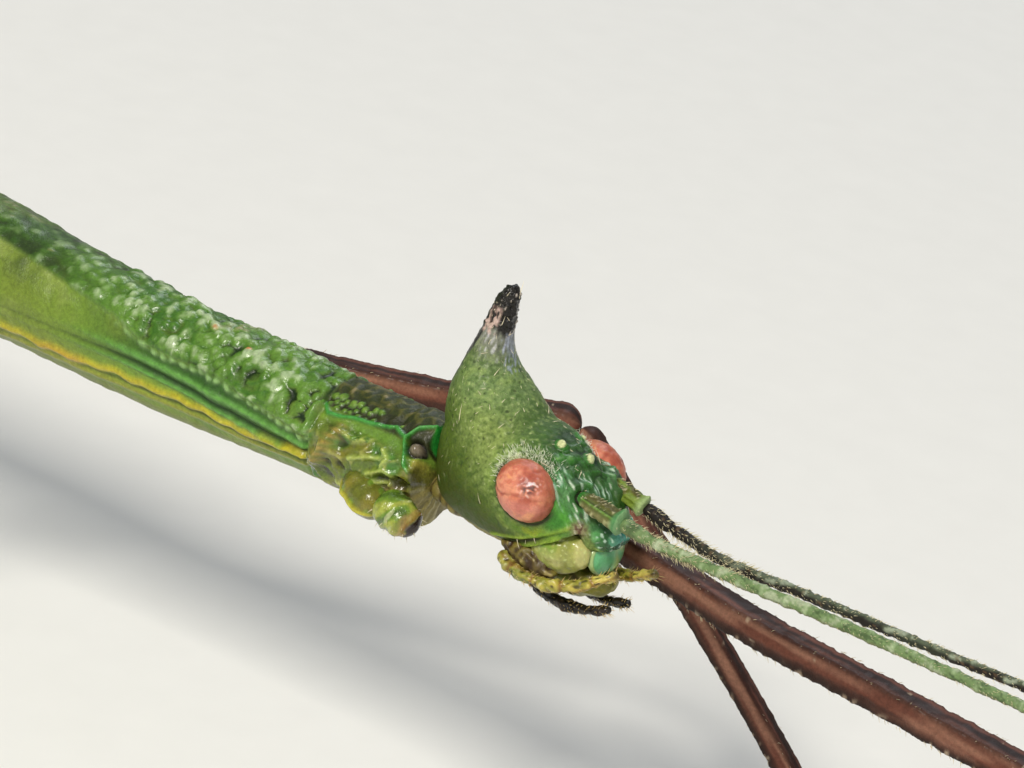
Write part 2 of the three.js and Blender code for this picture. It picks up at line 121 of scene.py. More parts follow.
floor_bm = bmesh.new()
bmesh.ops.create_grid(floor_bm, x_segments=4, y_segments=4, size=FLOOR_SIZE / 2)
floor_mesh = bpy.data.meshes.new("floor")
floor_bm.to_mesh(floor_mesh)
floor_bm.free()
floor = bpy.data.objects.new("floor", floor_mesh)
bpy.context.scene.collection.objects.link(floor)
# A board painted in matt off-white: the eye sees only soft shadows on it, and a faint even grain.
floor_paint, floor_tree, floor_shader = new_material("pale_floor_board")
board_grain = add_node(floor_tree, "ShaderNodeTexNoise", Scale=900.0, Detail=2.0)
board_tone = add_node(floor_tree, "ShaderNodeValToRGB", [("Fac", board_grain.outputs["Fac"])])
board_tone.color_ramp.elements[0].color = linear("#DFDED9")
board_tone.color_ramp.elements[1].color = linear(FLOOR_HEX)
floor_tree.links.new(floor_shader.inputs["Base Color"], board_tone.outputs["Color"])
floor_shader.inputs["Roughness"].default_value = 0.9
floor_mesh.materials.append(floor_paint)


def softbox(name, azimuth, elevation, distance, size, power, colour="#FFFFFF"):
    """A square lamp turned to the head, placed round it as a camera view is."""
    lamp = bpy.data.lights.new(name, "AREA")
    lamp.shape, lamp.size, lamp.energy = "SQUARE", size, power
    lamp.color = linear(colour)[:3]
    holder = bpy.data.objects.new(name, lamp)
    across, high = math.radians(azimuth), math.radians(elevation)
    toward = Vector((
        math.sin(across) * math.cos(high), -math.cos(across) * math.cos(high), math.sin(high)
    ))
    holder.location = ORIGIN + toward * distance
    holder.rotation_mode = "QUATERNION"
    holder.rotation_quaternion = toward.to_track_quat("Z", "Y")
    bpy.context.scene.collection.objects.link(holder)


# Degrees round and above the head, metres away and across, and watts.
softbox(
    "key_light", azimuth=4, elevation=46, distance=0.34, size=0.07, power=1.15, colour="#FFFAF0"
)
softbox("fill_light", azimuth=75, elevation=25, distance=0.42, size=0.26, power=0.25)
softbox(
    "rim_light", azimuth=200, elevation=48, distance=0.42, size=0.20, power=0.7, colour="#F2F7FF"
)
world = bpy.data.worlds.new("studio")
world.use_nodes = True
world.node_tree.nodes["Background"].inputs["Color"].default_value = linear("#EEF1F4")
world.node_tree.nodes["Background"].inputs["Strength"].default_value = 0.24
bpy.context.scene.world = world
bpy.context.scene.view_settings.view_transform = "Standard"

# ---------------------------------------------------------------------------------------------
# The thorax: neck, prothorax, mesothorax and metathorax in one skin of hard wet-looking cuticle.
# It is a grid wrapped round the body's axis and raised into keels, warts and beaded ridges, and
# each raised form carries its own colour in the "tint" attribute, with its gloss in the alpha.
THORAX_FRONT, PROTHORAX_BACK, MESOTHORAX_BACK, THORAX_BACK = -3.62, -7.0, -24.2, -36.2
AXIS_DROP = 1.6


def through(*pairs):
    """A function that runs smoothly through (station, value) pairs, stations rising."""
    x, y = np.array(pairs, float).T
    slope = np.gradient(y, x)

    def value(at):
        at = np.clip(at, x[0], x[-1])
        i = np.clip(np.searchsorted(x, at) - 1, 0, len(x) - 2)
        width = x[i + 1] - x[i]
        t = (at - x[i]) / width
        ends = y[i] * (1 + 2 * t) * (1 - t) ** 2 + y[i + 1] * t * t * (3 - 2 * t)
        return ends + width * t * (1 - t) * (slope[i] * (1 - t) - slope[i + 1] * t)

    return value


def step(value, low_edge, high_edge):
    """0 below one edge, 1 above the other, smooth between; the edges may be in either order."""
    t = np.clip((value - low_edge) / (high_edge - low_edge), 0, 1)
    return t * t * (3 - 2 * t)


def hump(value, centre, spread):
    """A smooth rise to 1 at the centre."""
    return np.exp(-(((value - centre) / spread) ** 2))


def from_top(angle):
    """Degrees from the top of a body or limb down either side of it, 0 to 180."""
    return np.degrees(np.abs(np.arctan2(np.sin(angle), np.cos(angle))))


def ripple(points, grain, seed, waves=20):
    """A smooth random field over points, about -1 to 1, whose lumps are about one grain wide; the
    seed picks its pattern."""
    draw = np.random.default_rng(seed)
    way = draw.normal(size=(waves, 3))
    way *= (
        (2 * math.pi / grain) * draw.uniform(0.35, 0.75, (waves, 1))
        / np.linalg.norm(way, axis=1)[:, None]
    )
    return np.cos(points @ way.T + draw.uniform(0, 2 * math.pi, waves)).sum(axis=1) / math.sqrt(waves)


def cobbles(points, centres, radii):
    """The height, 0 to 1, of round cobbles at the points, and which cobble each point is on."""
    tree = kdtree.KDTree(len(centres))
    for i, centre in enumerate(centres):
        tree.insert(centre, i)
    tree.balance()
    found = [tree.find(p)[1:] for p in points]
    nearest = np.array([f[0] for f in found])
    away = np.array([f[1] for f in found]) / radii[nearest]
    return np.clip(1 - away**2, 0, 1) ** 0.7, nearest


def near_route(points, route, spread):
    """1 on a route of straight runs, in a plane or in space, fading beside it over the spread."""
    route = np.array(route, float)
    gap = np.full(len(points), 99.0)
    for a, b in zip(route[:-1], route[1:]):
        run = b - a
        t = np.clip((points - a) @ run / (run @ run), 0, 1)
        gap = np.minimum(gap, np.linalg.norm(points - a - t[:, None] * run, axis=1))
    return hump(gap, 0, spread)


def line_of(route, x, angle, spread):
    """A line, 0 to 1, along a route of (station, degrees from the top) points on a body skin."""
    to_millimetres = (1, 1.35 * math.pi / 180)      # the body's reach is about 1.35
    here = np.stack([x, angle], axis=1) * to_millimetres
    return near_route(here, np.array(route, float) * to_millimetres, spread)


def painted(ground, *layers):
    """The colour at each point of a skin: the ground, one colour or a tint, with each (colour,
    amount) layer laid over it in turn, by an amount from 0 to 1 at each point."""
    tint = np.array(linear(ground))[:3] if isinstance(ground, str) else ground
    for colour, amount in layers:
        amount = np.clip(amount, 0, 1)[:, None]
        tint = tint * (1 - amount) + np.array(linear(colour))[:3] * amount
    return tint


def lay_out(bm, points, tint, gloss):
    """Moves a bmesh's vertices to the points, and gives each its colour and its gloss."""
    layer = bm.verts.layers.float_color.new("tint")
    gloss = np.broadcast_to(gloss, len(points))
    for vert, place, colour, shine in zip(bm.verts, points, tint, gloss):
        vert.co = place
        vert[layer] = (*colour, shine)


def sleeve(shape, rings, sides):
    """A closed skin, as a bmesh in millimetres. shape(t, angle) gives the points, colours and gloss
    for t from 0 to 1 along it, and angle from 0 at the top round by its right side."""
    bm = bmesh.new()
    bmesh.ops.create_grid(bm, x_segments=sides, y_segments=rings, size=1)
    flat = np.array([v.co[:] for v in bm.verts])
    lay_out(bm, *shape((flat[:, 1] + 1) / 2, (flat[:, 0] + 1) * math.pi))
    bmesh.ops.remove_doubles(bm, verts=bm.verts, dist=1e-4)
    open_edges = [edge for edge in bm.edges if edge.is_boundary]
    caps = bmesh.ops.holes_fill(bm, edges=open_edges, sides=0)["faces"]
    bmesh.ops.poke(bm, faces=caps)
    bmesh.ops.recalc_face_normals(bm, faces=bm.faces)
    return bm


def show(mesh, name, material, slot, *nodes):
    """Shows a mesh as a piece of the insect that stands for the nodes, where there are any."""
    mesh.polygons.foreach_set("use_smooth", [True] * len(mesh.polygons))
    mesh.materials.append(material)
    piece = bpy.data.objects.new(name, mesh)
    bpy.context.scene.collection.objects.link(piece)
    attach(piece, "root")
    if nodes:
        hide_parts(*nodes)


def finish(bm, name, material, slot, *nodes):
    """Sets a piece made in millimetres in its place on the frame, and shows it."""
    bmesh.ops.transform(bm, matrix=Matrix.Translation(ORIGIN) @ Matrix.Scale(MM, 4), verts=bm.verts)
    mesh = bpy.data.meshes.new(name)
    bm.to_mesh(mesh)
    bm.free()
    show(mesh, name, material, slot, *nodes)


def cuticle(name, grain, relief, roughness, variety=0.25, coat=0.3, glow=0.0, shine=0.3):
    """Insect cuticle: hard, waxy and faintly clear. The tint attribute gives its colour, which
    noise of the grain's size, in millimetres, breaks up, and relief is the depth of its bump."""
    material, tree, shader = new_material(name)
    marks = add_node(tree, "ShaderNodeAttribute", attribute_name="tint")
    place = add_node(tree, "ShaderNodeTexCoord")
    speckle = add_node(
        tree, "ShaderNodeTexNoise", [("Vector", place.outputs["Object"])],
        Scale=1 / (grain * MM), Detail=4.0, Roughness=0.65,
    )
    shade = add_node(
        tree, "ShaderNodeMapRange", [("Value", speckle.outputs["Fac"])],
        From_Min=0.3, From_Max=0.7, To_Min=1 - variety, To_Max=1 + variety,
    )
    colour = add_node(
        tree, "ShaderNodeVectorMath",
        [(0, marks.outputs["Color"]), ("Scale", shade.outputs["Result"])], operation="SCALE",
    )
    tree.links.new(shader.inputs["Base Color"], colour.outputs["Vector"])
    # The pores are drawn coarser than life, as fine as they can be and still show.
    pores = add_node(
        tree, "ShaderNodeTexVoronoi", [("Vector", place.outputs["Object"])],
        Scale=1 / (grain * 0.45 * MM),
    )
    surface = add_node(
        tree, "ShaderNodeMath", [(0, speckle.outputs["Fac"]), (1, pores.outputs["Distance"])],
        operation="ADD",
    )
    bump = add_node(
        tree, "ShaderNodeBump", [("Height", surface.outputs["Value"])],
        Strength=0.9, Distance=relief * MM,
    )
    tree.links.new(shader.inputs["Normal"], bump.outputs["Normal"])
    dullness = add_node(
        tree, "ShaderNodeMapRange", [("Value", marks.outputs["Alpha"])],
        To_Min=min(roughness + 0.3, 1), To_Max=roughness,
    )
    tree.links.new(shader.inputs["Roughness"], dullness.outputs["Result"])
    varnish = add_node(
        tree, "ShaderNodeMapRange", [("Value", marks.outputs["Alpha"])],
        To_Min=0.1 * coat, To_Max=coat,
    )
    tree.links.new(shader.inputs["Coat Weight"], varnish.outputs["Result"])
    shader.inputs["Coat Roughness"].default_value = 0.18
    shader.inputs["IOR"].default_value = 1.5
    shader.inputs["Specular IOR Level"].default_value = shine
    if glow:
        shader.inputs["Subsurface Weight"].default_value = glow
        shader.inputs["Subsurface Radius"].default_value = (0.5, 1.0, 0.25)
        shader.inputs["Subsurface Scale"].default_value = 0.3 * MM
    return material


body_half_width = through(
    (-85.4, 0.75), (-84, 1.05), (-80, 1.22), (-76, 1.2), (-68, 1.28), (-56, 1.42), (-44, 1.55),
    (-36.2, 1.66), (-33.5, 1.95), (-30, 1.72), (-26, 1.72), (-22.5, 1.98), (-19, 1.7), (-15, 1.4),
    (-8, 1.32), (-6.8, 1.38), (-5.2, 1.34), (-3.9, 1.22), (-3.6, 1.14),
)
body_half_height = through(
    (-85.4, 0.7), (-84, 0.95), (-80, 1.15), (-68, 1.25), (-56, 1.38), (-44, 1.5), (-36.2, 1.55),
    (-30, 1.62), (-22.5, 1.78), (-19, 1.68), (-15, 1.42), (-8, 1.3), (-5.2, 1.38), (-3.9, 1.36),
    (-3.6, 1.24),
)
body_axis = through(
    (-85.4, -4.4), (-72, -3.3), (-58, -2.4), (-44, -1.9), (-30, -AXIS_DROP), (-20, -AXIS_DROP),
    (-12, -AXIS_DROP - 0.1), (-6, -AXIS_DROP), (-3, -AXIS_DROP + 0.1),
)
BELLY = dict(station=-13, length=5, depth=0.3)      # the low keel of the mesothorax


def on_trunk(x, angle, raised=0.0):
    """Points on the trunk's skin at stations x and angles, raised by so many millimetres."""
    aside, up = np.sin(angle), np.cos(angle)
    round_reach = 1 / np.hypot(aside / body_half_width(x), up / body_half_height(x))
    belly = BELLY["depth"] * hump(x, BELLY["station"], BELLY["length"]) * step(up, -0.5, -1)
    reach = round_reach + belly + raised
    return np.stack([x + 0 * reach, -reach * aside, body_axis(x) + reach * up], axis=1)


# Places on the prothorax, each its station and its degrees from the top.
GLAND = (-3.97, 47)          # the scent gland's mouth, at the front corner
GLAND_PIT, GLAND_PLUG = 0.29, 0.2       # radii of its dark pit and of the pale plug in it
CROSS_GROOVE = -4.72
KEEL = [
    (-7.0, 40), (-6.72, 50), (-6.3, 48), (-6.0, 44), (-5.4, 41.5), (-4.9, 37), (-4.75, 34),
    (-4.55, 38), (-4.3, 42),
]
GLAND_RIM = [
    (-3.8, 16), (-4.16, 26), (-4.3, 36), (-4.3, 46), (-4.14, 56), (-3.98, 69), (-3.8, 74),
]
FRONT_RIDGE = [(-3.66, 0), (-3.72, 18), (-3.66, 33)]
FOLDS = [
    [(-5.95, 62), (-5.6, 66), (-5.17, 58)], [(-5.6, 84), (-5.1, 76), (-4.75, 72)],
    [(-5.0, 92), (-4.5, 82), (-4.25, 86)], [(-5.5, 104), (-4.8, 100), (-4.3, 96)],
    [(-6.0, 118), (-5.2, 122), (-4.4, 116)], [(-4.7, 62), (-4.5, 70), (-4.62, 78)],
]
HIND_LOBE = [(-6.15, 62), (-6.38, 80), (-6.62, 98)]
GRANULE_PATCHES = [
    # stations, degrees from the top, radii, and how many tries are made to place one
    ((-6.95, -5.3), (25, 42), (0.07, 0.14), 340),
    ((-5.9, -5.2), (56, 63), (0.06, 0.1), 90),
    ((-4.75, -4.5), (31, 36), (0.05, 0.08), 5),
]
WART_ROW_GAP, WART_GAP = 0.31, 13       # along the body in millimetres, and round it in degrees
WART_RADII = (0.14, 0.32)
WARTS_CLOSE_UP = -14                    # ahead of this station no wart is left out
# The angle of each line along the thorax's side, from the back of the skin to the front.
bead_line = through(
    (-36.2, 34), (-24, 36), (-18, 39), (-15.9, 47), (-14, 56), (-12.5, 69), (-11.4, 68.5),
    (-10.4, 68), (-9.1, 76.5), (-7.9, 81), (-7.2, 86),
)
ridge_line = through((-36.2, 84), (-16, 84), (-12.7, 82), (-9.5, 88), (-7.2, 95))
groove_line = through(
    (-36.2, 97), (-16, 95), (-12.7, 91), (-11.2, 94), (-9.5, 99), (-8.4, 102), (-7.2, 101)
)
stripe_line = through((-36.2, 122), (-17, 124), (-14, 123), (-11, 118), (-9, 118), (-7.2, 112))
draw = np.random.default_rng(7)
wart_rows = []
for row_x in np.arange(PROTHORAX_BACK - 0.15, THORAX_BACK + 0.4, -WART_ROW_GAP):
    for row_angle in np.arange(-80, 81, WART_GAP):
        if draw.uniform() < 0.85 or row_x > WARTS_CLOSE_UP:
            spot = row_x + draw.uniform(-0.16, 0.16), math.radians(row_angle + draw.uniform(-7, 7))
            wart_rows.append((*spot, draw.uniform(*WART_RADII)))
wart_x, wart_angle, wart_radius = np.array(wart_rows).T
wart_centres = on_trunk(wart_x, wart_angle)
granules = []
for stations, degrees, radii, tries in GRANULE_PATCHES:
    for _ in range(tries):
        x, down, reach = draw.uniform(*stations), draw.uniform(*degrees), draw.uniform(*radii)
        if all(
            np.hypot(x - other_x, (down - other_down) * 0.024) > 0.86 * (reach + other_reach)
            for other_x, other_down, other_reach in granules
        ):
            granules.append((x, down, reach))
granule_x, granule_angle, granule_radius = np.array(granules).T
granule_centres = np.concatenate([
    on_trunk(granule_x, np.radians(granule_angle) * sign) for sign in (1, -1)
])
granule_radii = np.tile(granule_radius, 2)


def thorax(t, angle):
    """The thorax's skin. It starts at the front and its rings spread out towards the back."""
    x = THORAX_FRONT + (THORAX_BACK - THORAX_FRONT) * (0.42 * t + 0.58 * t**2.3)
    side = from_top(angle)
    base = on_trunk(x, angle)
    prothorax = step(x, PROTHORAX_BACK - 0.05, PROTHORAX_BACK + 0.05)
    behind = 1 - prothorax
    fine, finer = ripple(base, 0.3, 1), ripple(base, 0.16, 8)
    coarse, patch = ripple(base, 1.1, 2), ripple(base, 2.6, 3)
    crumple = np.clip(1 - np.abs(ripple(base, 0.75, 9)), -0.2, 1)
    crinkle = np.clip(1 - np.abs(ripple(base, 0.34, 10)), -0.2, 1)
    creased = np.clip(1 - np.abs(ripple(base, 0.19, 16)), -0.2, 1)

    # Warts over the back of the mesothorax and metathorax, run together in lumps.
    wart, which = cobbles(base, wart_centres, wart_radius)
    back_area = step(side - bead_line(x), 1, -7) * behind
    near_front = step(x, -17.5, -13)
    wart = wart * (0.45 + 0.55 * np.sin(which * 2.4) ** 2)
    rugose = np.clip(0.32 + 0.45 * wart + 0.26 * crumple + 0.16 * crinkle, 0.2, 1.1)
    wart_height = rugose * 0.26 * back_area * (0.25 + 0.75 * near_front)
    # The lines down each side: beads, two ridges with a groove between, and the wavy stripe.
    beads = hump(side, bead_line(x) + 1.2 * fine, 3.2)
    beads = beads * (0.6 + 0.4 * np.cos(x * 2 * math.pi / 0.34 + 3 * coarse))
    beads = beads * (0.25 + 0.75 * step(x, -14.5, -12.6))
    sharp = 0.3 + 0.7 * step(x, -16, -12)
    ridges = (hump(side, ridge_line(x), 4.2) + hump(side, groove_line(x) + 6.5, 3.0)) * sharp
    ridges = ridges * (0.85 + 0.15 * np.cos(x * 2 * math.pi / 0.42 + 2 * coarse))
    groove = hump(side, groove_line(x), 2.2) * sharp
    groove = groove + 0.5 * hump(side, stripe_line(x) + 2, 1.6) * step(x, -15, -9)
    wave = stripe_line(x) - 4 + 1.6 * np.sin(x * 6.1) + 1.4 * coarse
    stripe = hump(side, wave, 5.2)
    low_stripe = hump(side, stripe_line(x) + 9, 4.5)
    raised_lines = 0.09 * beads + 0.07 * ridges - 0.05 * groove + 0.11 * stripe + 0.06 * low_stripe
    side_lumps = 0.1 * np.clip(ripple(base, 1.3, 12) - 0.9, 0, 1)
    side_lumps = side_lumps * step(side, 40, 50) * step(side, 110, 95) * behind
    girdle = 0.09 * hump(x, MESOTHORAX_BACK + 0.35, 0.35) - 0.13 * hump(x, MESOTHORAX_BACK, 0.09)
    girdle = girdle - 0.12 * hump(x, PROTHORAX_BACK, 0.07) * step(side, 20, 45)

    # The prothorax: granules inside its keels, crumpled glossy flanks, and the gland's socket.
    keel = line_of(KEEL, x, side, 0.065) * prothorax
    rim = line_of(GLAND_RIM, x, side, 0.055) * prothorax
    front_ridge = line_of(FRONT_RIDGE, x, side, 0.07)
    folds = sum(line_of(fold, x, side, 0.06) for fold in FOLDS) * prothorax
    hind_lobe = line_of(HIND_LOBE, x, side, 0.2) * prothorax
    grains, _ = cobbles(base, granule_centres, granule_radii)
    grains = grains * prothorax * step(x, -4.2, -4.5) * (1 - step(keel, 0.1, 0.5))
    cross_groove = hump(x, CROSS_GROOVE, 0.1) * step(side, 36, 25) * prothorax
    socket = np.hypot((x - GLAND[0]), (side - GLAND[1]) * 0.0236)
    pit = step(socket, GLAND_PIT, 0.22) * prothorax
    plug = np.clip(1 - (socket / GLAND_PLUG) ** 2, 0, 1) ** 0.5 * prothorax
    plate = np.exp(-(((x + 3.72) / 0.14) ** 2 + ((side - 65) / 8) ** 2))
    neck_fall = -0.5 * step(x, -3.8, THORAX_FRONT)
    flank = step(side, 52, 66) * prothorax * np.maximum(step(side, 150, 125), step(x, -4.9, -4.4))
    dorsum = step(side, 46, 38) * prothorax
    raised = (
        wart_height + raised_lines * behind + side_lumps + girdle
        + 0.1 * keel + 0.11 * rim + 0.16 * front_ridge + 0.09 * folds + 0.2 * hind_lobe
        + 0.05 * grains - 0.07 * cross_groove - 0.2 * pit + 0.27 * plug
        + 0.12 * prothorax * step(side, 36, 8) + 0.1 * plate + neck_fall
        + flank * (0.07 * crumple + 0.08 * crinkle + 0.03 * creased + 0.012 * finer)
        + 0.015 * creased * dorsum + 0.008 * finer * dorsum + 0.008 * fine + 0.012 * coarse
    )

    # Where each colour lies.
    rear_flank = (1 - back_area) * (1 - near_front) * behind * step(x, -33, -22)
    high_flank = step(side - bead_line(x), 34, 6) * step(coarse + 0.4 * fine, -0.9, 0.6)
    warted = back_area * (0.35 + 0.65 * near_front)
    crest = warted * step(rugose + 0.1 * finer, 0.82, 1.05)
    along_top = step(ripple(base, 1.5, 13) - 0.025 * side, -0.6, 0.4)
    lateral = step(side - bead_line(x), -4, 3) * step(side, 150, 120) * behind
    striped = lateral * sharp * step(x, -16.5, -12.5)
    wrinkle = 0.5 * crumple + 0.5 * crinkle + 0.25 * creased
    neck_side = step(x, -3.85, -3.72) * step(side, 55, 75)
    neck_under = step(x, -4.75, -4.2) * step(side, 92, 112)

    # Colours: green all over, then region by region, the ground of each before its details.
    tint = painted(
        "#6A8A2E",
        ("#47701F", step(patch, -0.2, 1.2) * 0.6),
        ("#8E9C3E", step(coarse, 0.4, 1.4) * 0.4),
        # the olive flank, and painted shade that darkens its upper edge and the back behind the warts
        ("#6C7A2A", rear_flank * 0.7),
        ("#3E501C", rear_flank * high_flank * 0.75),
        ("#8E9C50", rear_flank * step(coarse - 0.3 * fine, -0.6, -1.4) * 0.5),
        ("#263A10", back_area * (1 - near_front) * 0.95),
        ("#56602A", back_area * (1 - near_front) * step(coarse, 0.1, 1.0) * 0.7),
        # the warts, from the pits between them, darkened as painted shade, to their pale crests, which
        # are partly painted highlight
        ("#14280A", warted * (1 - step(rugose, 0.35, 0.65))),
        ("#34601A", warted * step(rugose, 0.42, 0.68) * 0.95),
        ("#5E8430", warted * step(rugose + 0.12 * coarse + 0.06 * finer, 0.55, 0.85) * 0.9),
        ("#A6B890", crest * 0.8),
        ("#A08A70", warted * step(rugose + 0.1 * finer, 0.65, 0.95) * along_top
         * step(coarse, -0.1, 0.7) * 0.8),
        ("#C8703E", crest * step(ripple(base, 0.5, 14), 1.8, 2.0)),
        # the green and yellow lines along the side, and the underside
        ("#224A16", striped * step(side - groove_line(x), 12, 4) * 0.9),
        ("#5E9440", lateral * np.clip(ridges * 1.2, 0, 1) * step(x, -16.5, -12.5)),
        ("#8DB46E", np.clip(beads * 1.3, 0, 1) ** 1.5 * behind * step(x, -16.5, -13) * 0.8),
        ("#16300C", np.clip(groove * 1.2, 0, 1) * lateral * 0.85),
        ("#B0A424", np.clip(stripe * 1.25, 0, 1) * behind * (0.9 - 0.25 * step(fine, 0.2, 1))),
        ("#B8842E", stripe * behind * step(coarse, 0.5, 1.3) * 0.45),
        ("#D0C458", stripe * behind * step(finer, 0.6, 1.4) * 0.4),
        ("#2C3A10", hump(side, stripe_line(x) + 3.5, 1.6) * behind * step(x, -17, -12) * 0.7),
        ("#8A8E2A", low_stripe * behind * 0.85),
        ("#6E7A2C", step(side, 134, 146) * behind * 0.9),
        # the prothorax: its dark back, wet flank, keels, gland and granules
        ("#2A3210", dorsum),
        ("#50501E", dorsum * step(creased + 0.2 * finer, 0.4, 0.9) * 0.8),
        ("#7E7046", dorsum * step(coarse + 0.3 * finer, 0.7, 1.3) * 0.6),
        ("#857A56", dorsum * step(finer, 1.3, 1.8) * 0.7),
        ("#586C22", flank),
        ("#7C7028", flank * step(ripple(base, 0.9, 5), 0.0, 1.0) * 0.8),
        ("#3A722A", flank * step(ripple(base, 0.7, 6), 0.1, 1.0) * 0.85),
        # painted shade in the flank's wrinkles
        ("#20240A", flank * step(wrinkle, 0.46, 0.08) * 0.9),
        ("#A4A45A", flank * step(wrinkle, 0.85, 1.12) * 0.65),
        ("#A8B65A", np.clip(folds, 0, 1) * 0.8),
        ("#94803C", hind_lobe * (0.65 + 0.3 * np.cos(side * 0.9))),
        ("#22260C", dorsum * step(side, 20, 25) * 0.8),
        ("#47681C", step(grains, 0.1, 0.45)),
        ("#6E8C34", step(grains + 0.15 * finer, 0.6, 1.0) * 0.75),
        ("#25701A", np.clip(np.maximum(keel, rim) * 1.6 - 0.25, 0, 1)),
        ("#4E9A48", np.clip(np.maximum(keel, rim) * 2 - 1.1, 0, 1) * 0.8),
        ("#1F7C28", np.clip(front_ridge * 1.5 - 0.2, 0, 1)),
        ("#A8A044", np.clip(plate * 1.6 - 0.3 * np.abs(fine), 0, 1)),
        ("#0F0D08", pit),
        ("#6E6452", step(plug, 0.15, 0.5)),
        # the soft neck and the underside
        ("#6E6C2A", neck_side * 0.9),
        ("#2E2A10", neck_side * step(ripple(base, 0.45, 15), 0.0, 1.0) * 0.85),
        ("#4A4820", step(side, 130, 155) * prothorax * 0.8),
        ("#847A40", neck_under * 0.95),
        ("#B0A87C", neck_under * step(crinkle + 0.3 * finer, 0.7, 1.1) * 0.7),
        # painted shade in the wrinkles under the neck
        ("#3A3014", neck_under * step(wrinkle, 0.5, 0.15) * 0.85),
    )
    gloss = (
        0.25 + 0.7 * flank + 0.5 * keel + 0.2 * np.clip(raised_lines, 0, 0.1) / 0.1 + 0.6 * plug
        - 0.25 * dorsum * (1 - keel) - 0.9 * neck_under
        + 0.3 * warted * step(rugose, 0.5, 0.8) + 0.3 * grains
    )
    return on_trunk(x, angle, raised), tint, np.clip(gloss, 0, 1)


# Chitin hardened in lumps under a coat of wax: small sharp lights on each wart and fold, as if wet.
wet_cuticle = cuticle(
    "wet_rugose_cuticle", grain=0.11, relief=0.01, roughness=0.22, coat=0.5, glow=0.06
)
finish(
    sleeve(thorax, rings=420, sides=216), "thorax_skin", wet_cuticle, "thorax_green",
    "neck", "prothorax", "mesothorax", "metathorax",
)

# ---------------------------------------------------------------------------------------------
# The head capsule and its horn, one shell of waxy cuticle: the horn is an outgrowth of the crown
# with no seam. Both shapes are fused and smoothed, then worked into rims, warts, folds and pits.
HEAD_BACK, HEAD_FRONT, HORN_FOOT, HORN_TOP = -3.62, 1.92, -0.5, 4.27
EYE_OUTS, EYE_RADIUS = {"right": 1.42, "left": 1.5}, 0.79
HEAD_GRAIN = 0.031              # edge of the skin's small faces
head_top = through(
    (-3.62, 0.3), (-3.3, 0.75), (-3, 0.98), (-2, 1.22), (-1, 1.16), (0, 0.96), (0.6, 0.64),
    (1.1, 0.17), (1.55, -0.38), (1.92, -0.85),
)
head_bottom = through(
    (-3.62, -1.5), (-3.3, -1.95), (-3, -2.14), (-2.5, -2.3), (-2, -2.38), (-1, -2.36), (0, -2.2),
    (0.6, -2.0), (1.1, -1.72), (1.55, -1.45), (1.92, -1.3),
)
head_half_width = through(
    (-3.62, 0.5), (-3.3, 0.86), (-3, 1.07), (-2.5, 1.29), (-2, 1.43), (-1, 1.56), (0, 1.5),
    (0.6, 1.36), (1.1, 1.14), (1.6, 0.84), (1.92, 0.55),
)
horn_back = through(
    (-0.5, -3.3), (0.3, -3.72), (0.9, -3.74), (2.2, -3.4), (3.3, -3.05), (4.0, -2.8), (4.27, -2.62)
)
horn_front = through(
    (-0.5, -0.6), (0.3, -0.15), (0.9, -0.6), (1.3, -1.12), (2.0, -1.95), (2.6, -2.26), (3.3, -2.34),
    (4.0, -2.3), (4.27, -2.36),
)
cheek_edge = through(
    (-1.3, -2.2), (-0.7, -2.0), (-0.2, -1.84), (0.3, -1.5), (0.58, -1.31), (1.0, -1.02), (1.35, -0.8)
)
EYE_DROPS = {"right": 0.1, "left": 0.35}     # how far each eye's middle is below the line of sight
EYE_SHAPE, EYE_TILT = (1.05, 0.86, 0.92), 0.6   # half sizes over the radius; tilt, nose down
OCELLUS_RADIUS, BEAD_RADIUS = 0.2, 0.135
OCELLI = [(-0.03, -0.4, 0.93), (-0.03, 0.4, 0.93), (0.57, 0.0, 0.66)]
OCELLUS_BEADS = [(-0.03, -0.43, 0.93), (-0.03, 0.55, 0.84), (0.59, 0.0, 0.66)]
SOCKET_COLLAR = 0.36            # reach of the raised collar round a feeler's socket
ANTENNA_SOCKETS = [(1.06, -0.76, 0.0), (1.02, 0.76, -0.02)]
SUTURE = [(1.2, 1.12, -0.98), (1.36, 0.85, -0.68), (1.5, 0.45, -0.5), (1.55, 0, -0.46)]
CLYPEUS_LOBES = [
    # place and half sizes
    ((1.5, 0.68, -0.86), (0.26, 0.24, 0.2)),
    ((1.82, 0.22, -0.95), (0.26, 0.3, 0.2)),
    ((1.62, 0.42, -1.14), (0.22, 0.3, 0.14)),
]


def eye_ring(x, y, z):
    """How far out points lie in the plane of the nearer eye's disc, as a share of its radius."""
    across = x + np.where(y < 0, EYE_BACKS["right"], EYE_BACKS["left"])
    up = z + np.where(y < 0, EYE_DROPS["right"], EYE_DROPS["left"])
    long_way = across * math.cos(EYE_TILT) - up * math.sin(EYE_TILT)
    short_way = across * math.sin(EYE_TILT) + up * math.cos(EYE_TILT)
    return np.hypot(long_way / EYE_SHAPE[0], short_way / EYE_SHAPE[2]) / EYE_RADIUS


def rough_capsule(t, angle):
    """The head without its horn, a round tube that swells at the brows."""
    x = HEAD_BACK + (HEAD_FRONT - HEAD_BACK) * t
    half_height = (head_top(x) - head_bottom(x)) / 2
    brow = 0.06 * hump(np.abs(np.arctan2(np.sin(angle), np.cos(angle))), 0.75, 0.3)
    reach = 1 / np.hypot(np.sin(angle) / head_half_width(x), np.cos(angle) / half_height) + brow
    z = (head_top(x) + head_bottom(x)) / 2 + reach * np.cos(angle)
    return np.stack([x, -reach * np.sin(angle), z], axis=1), np.ones((len(x), 3)), 1


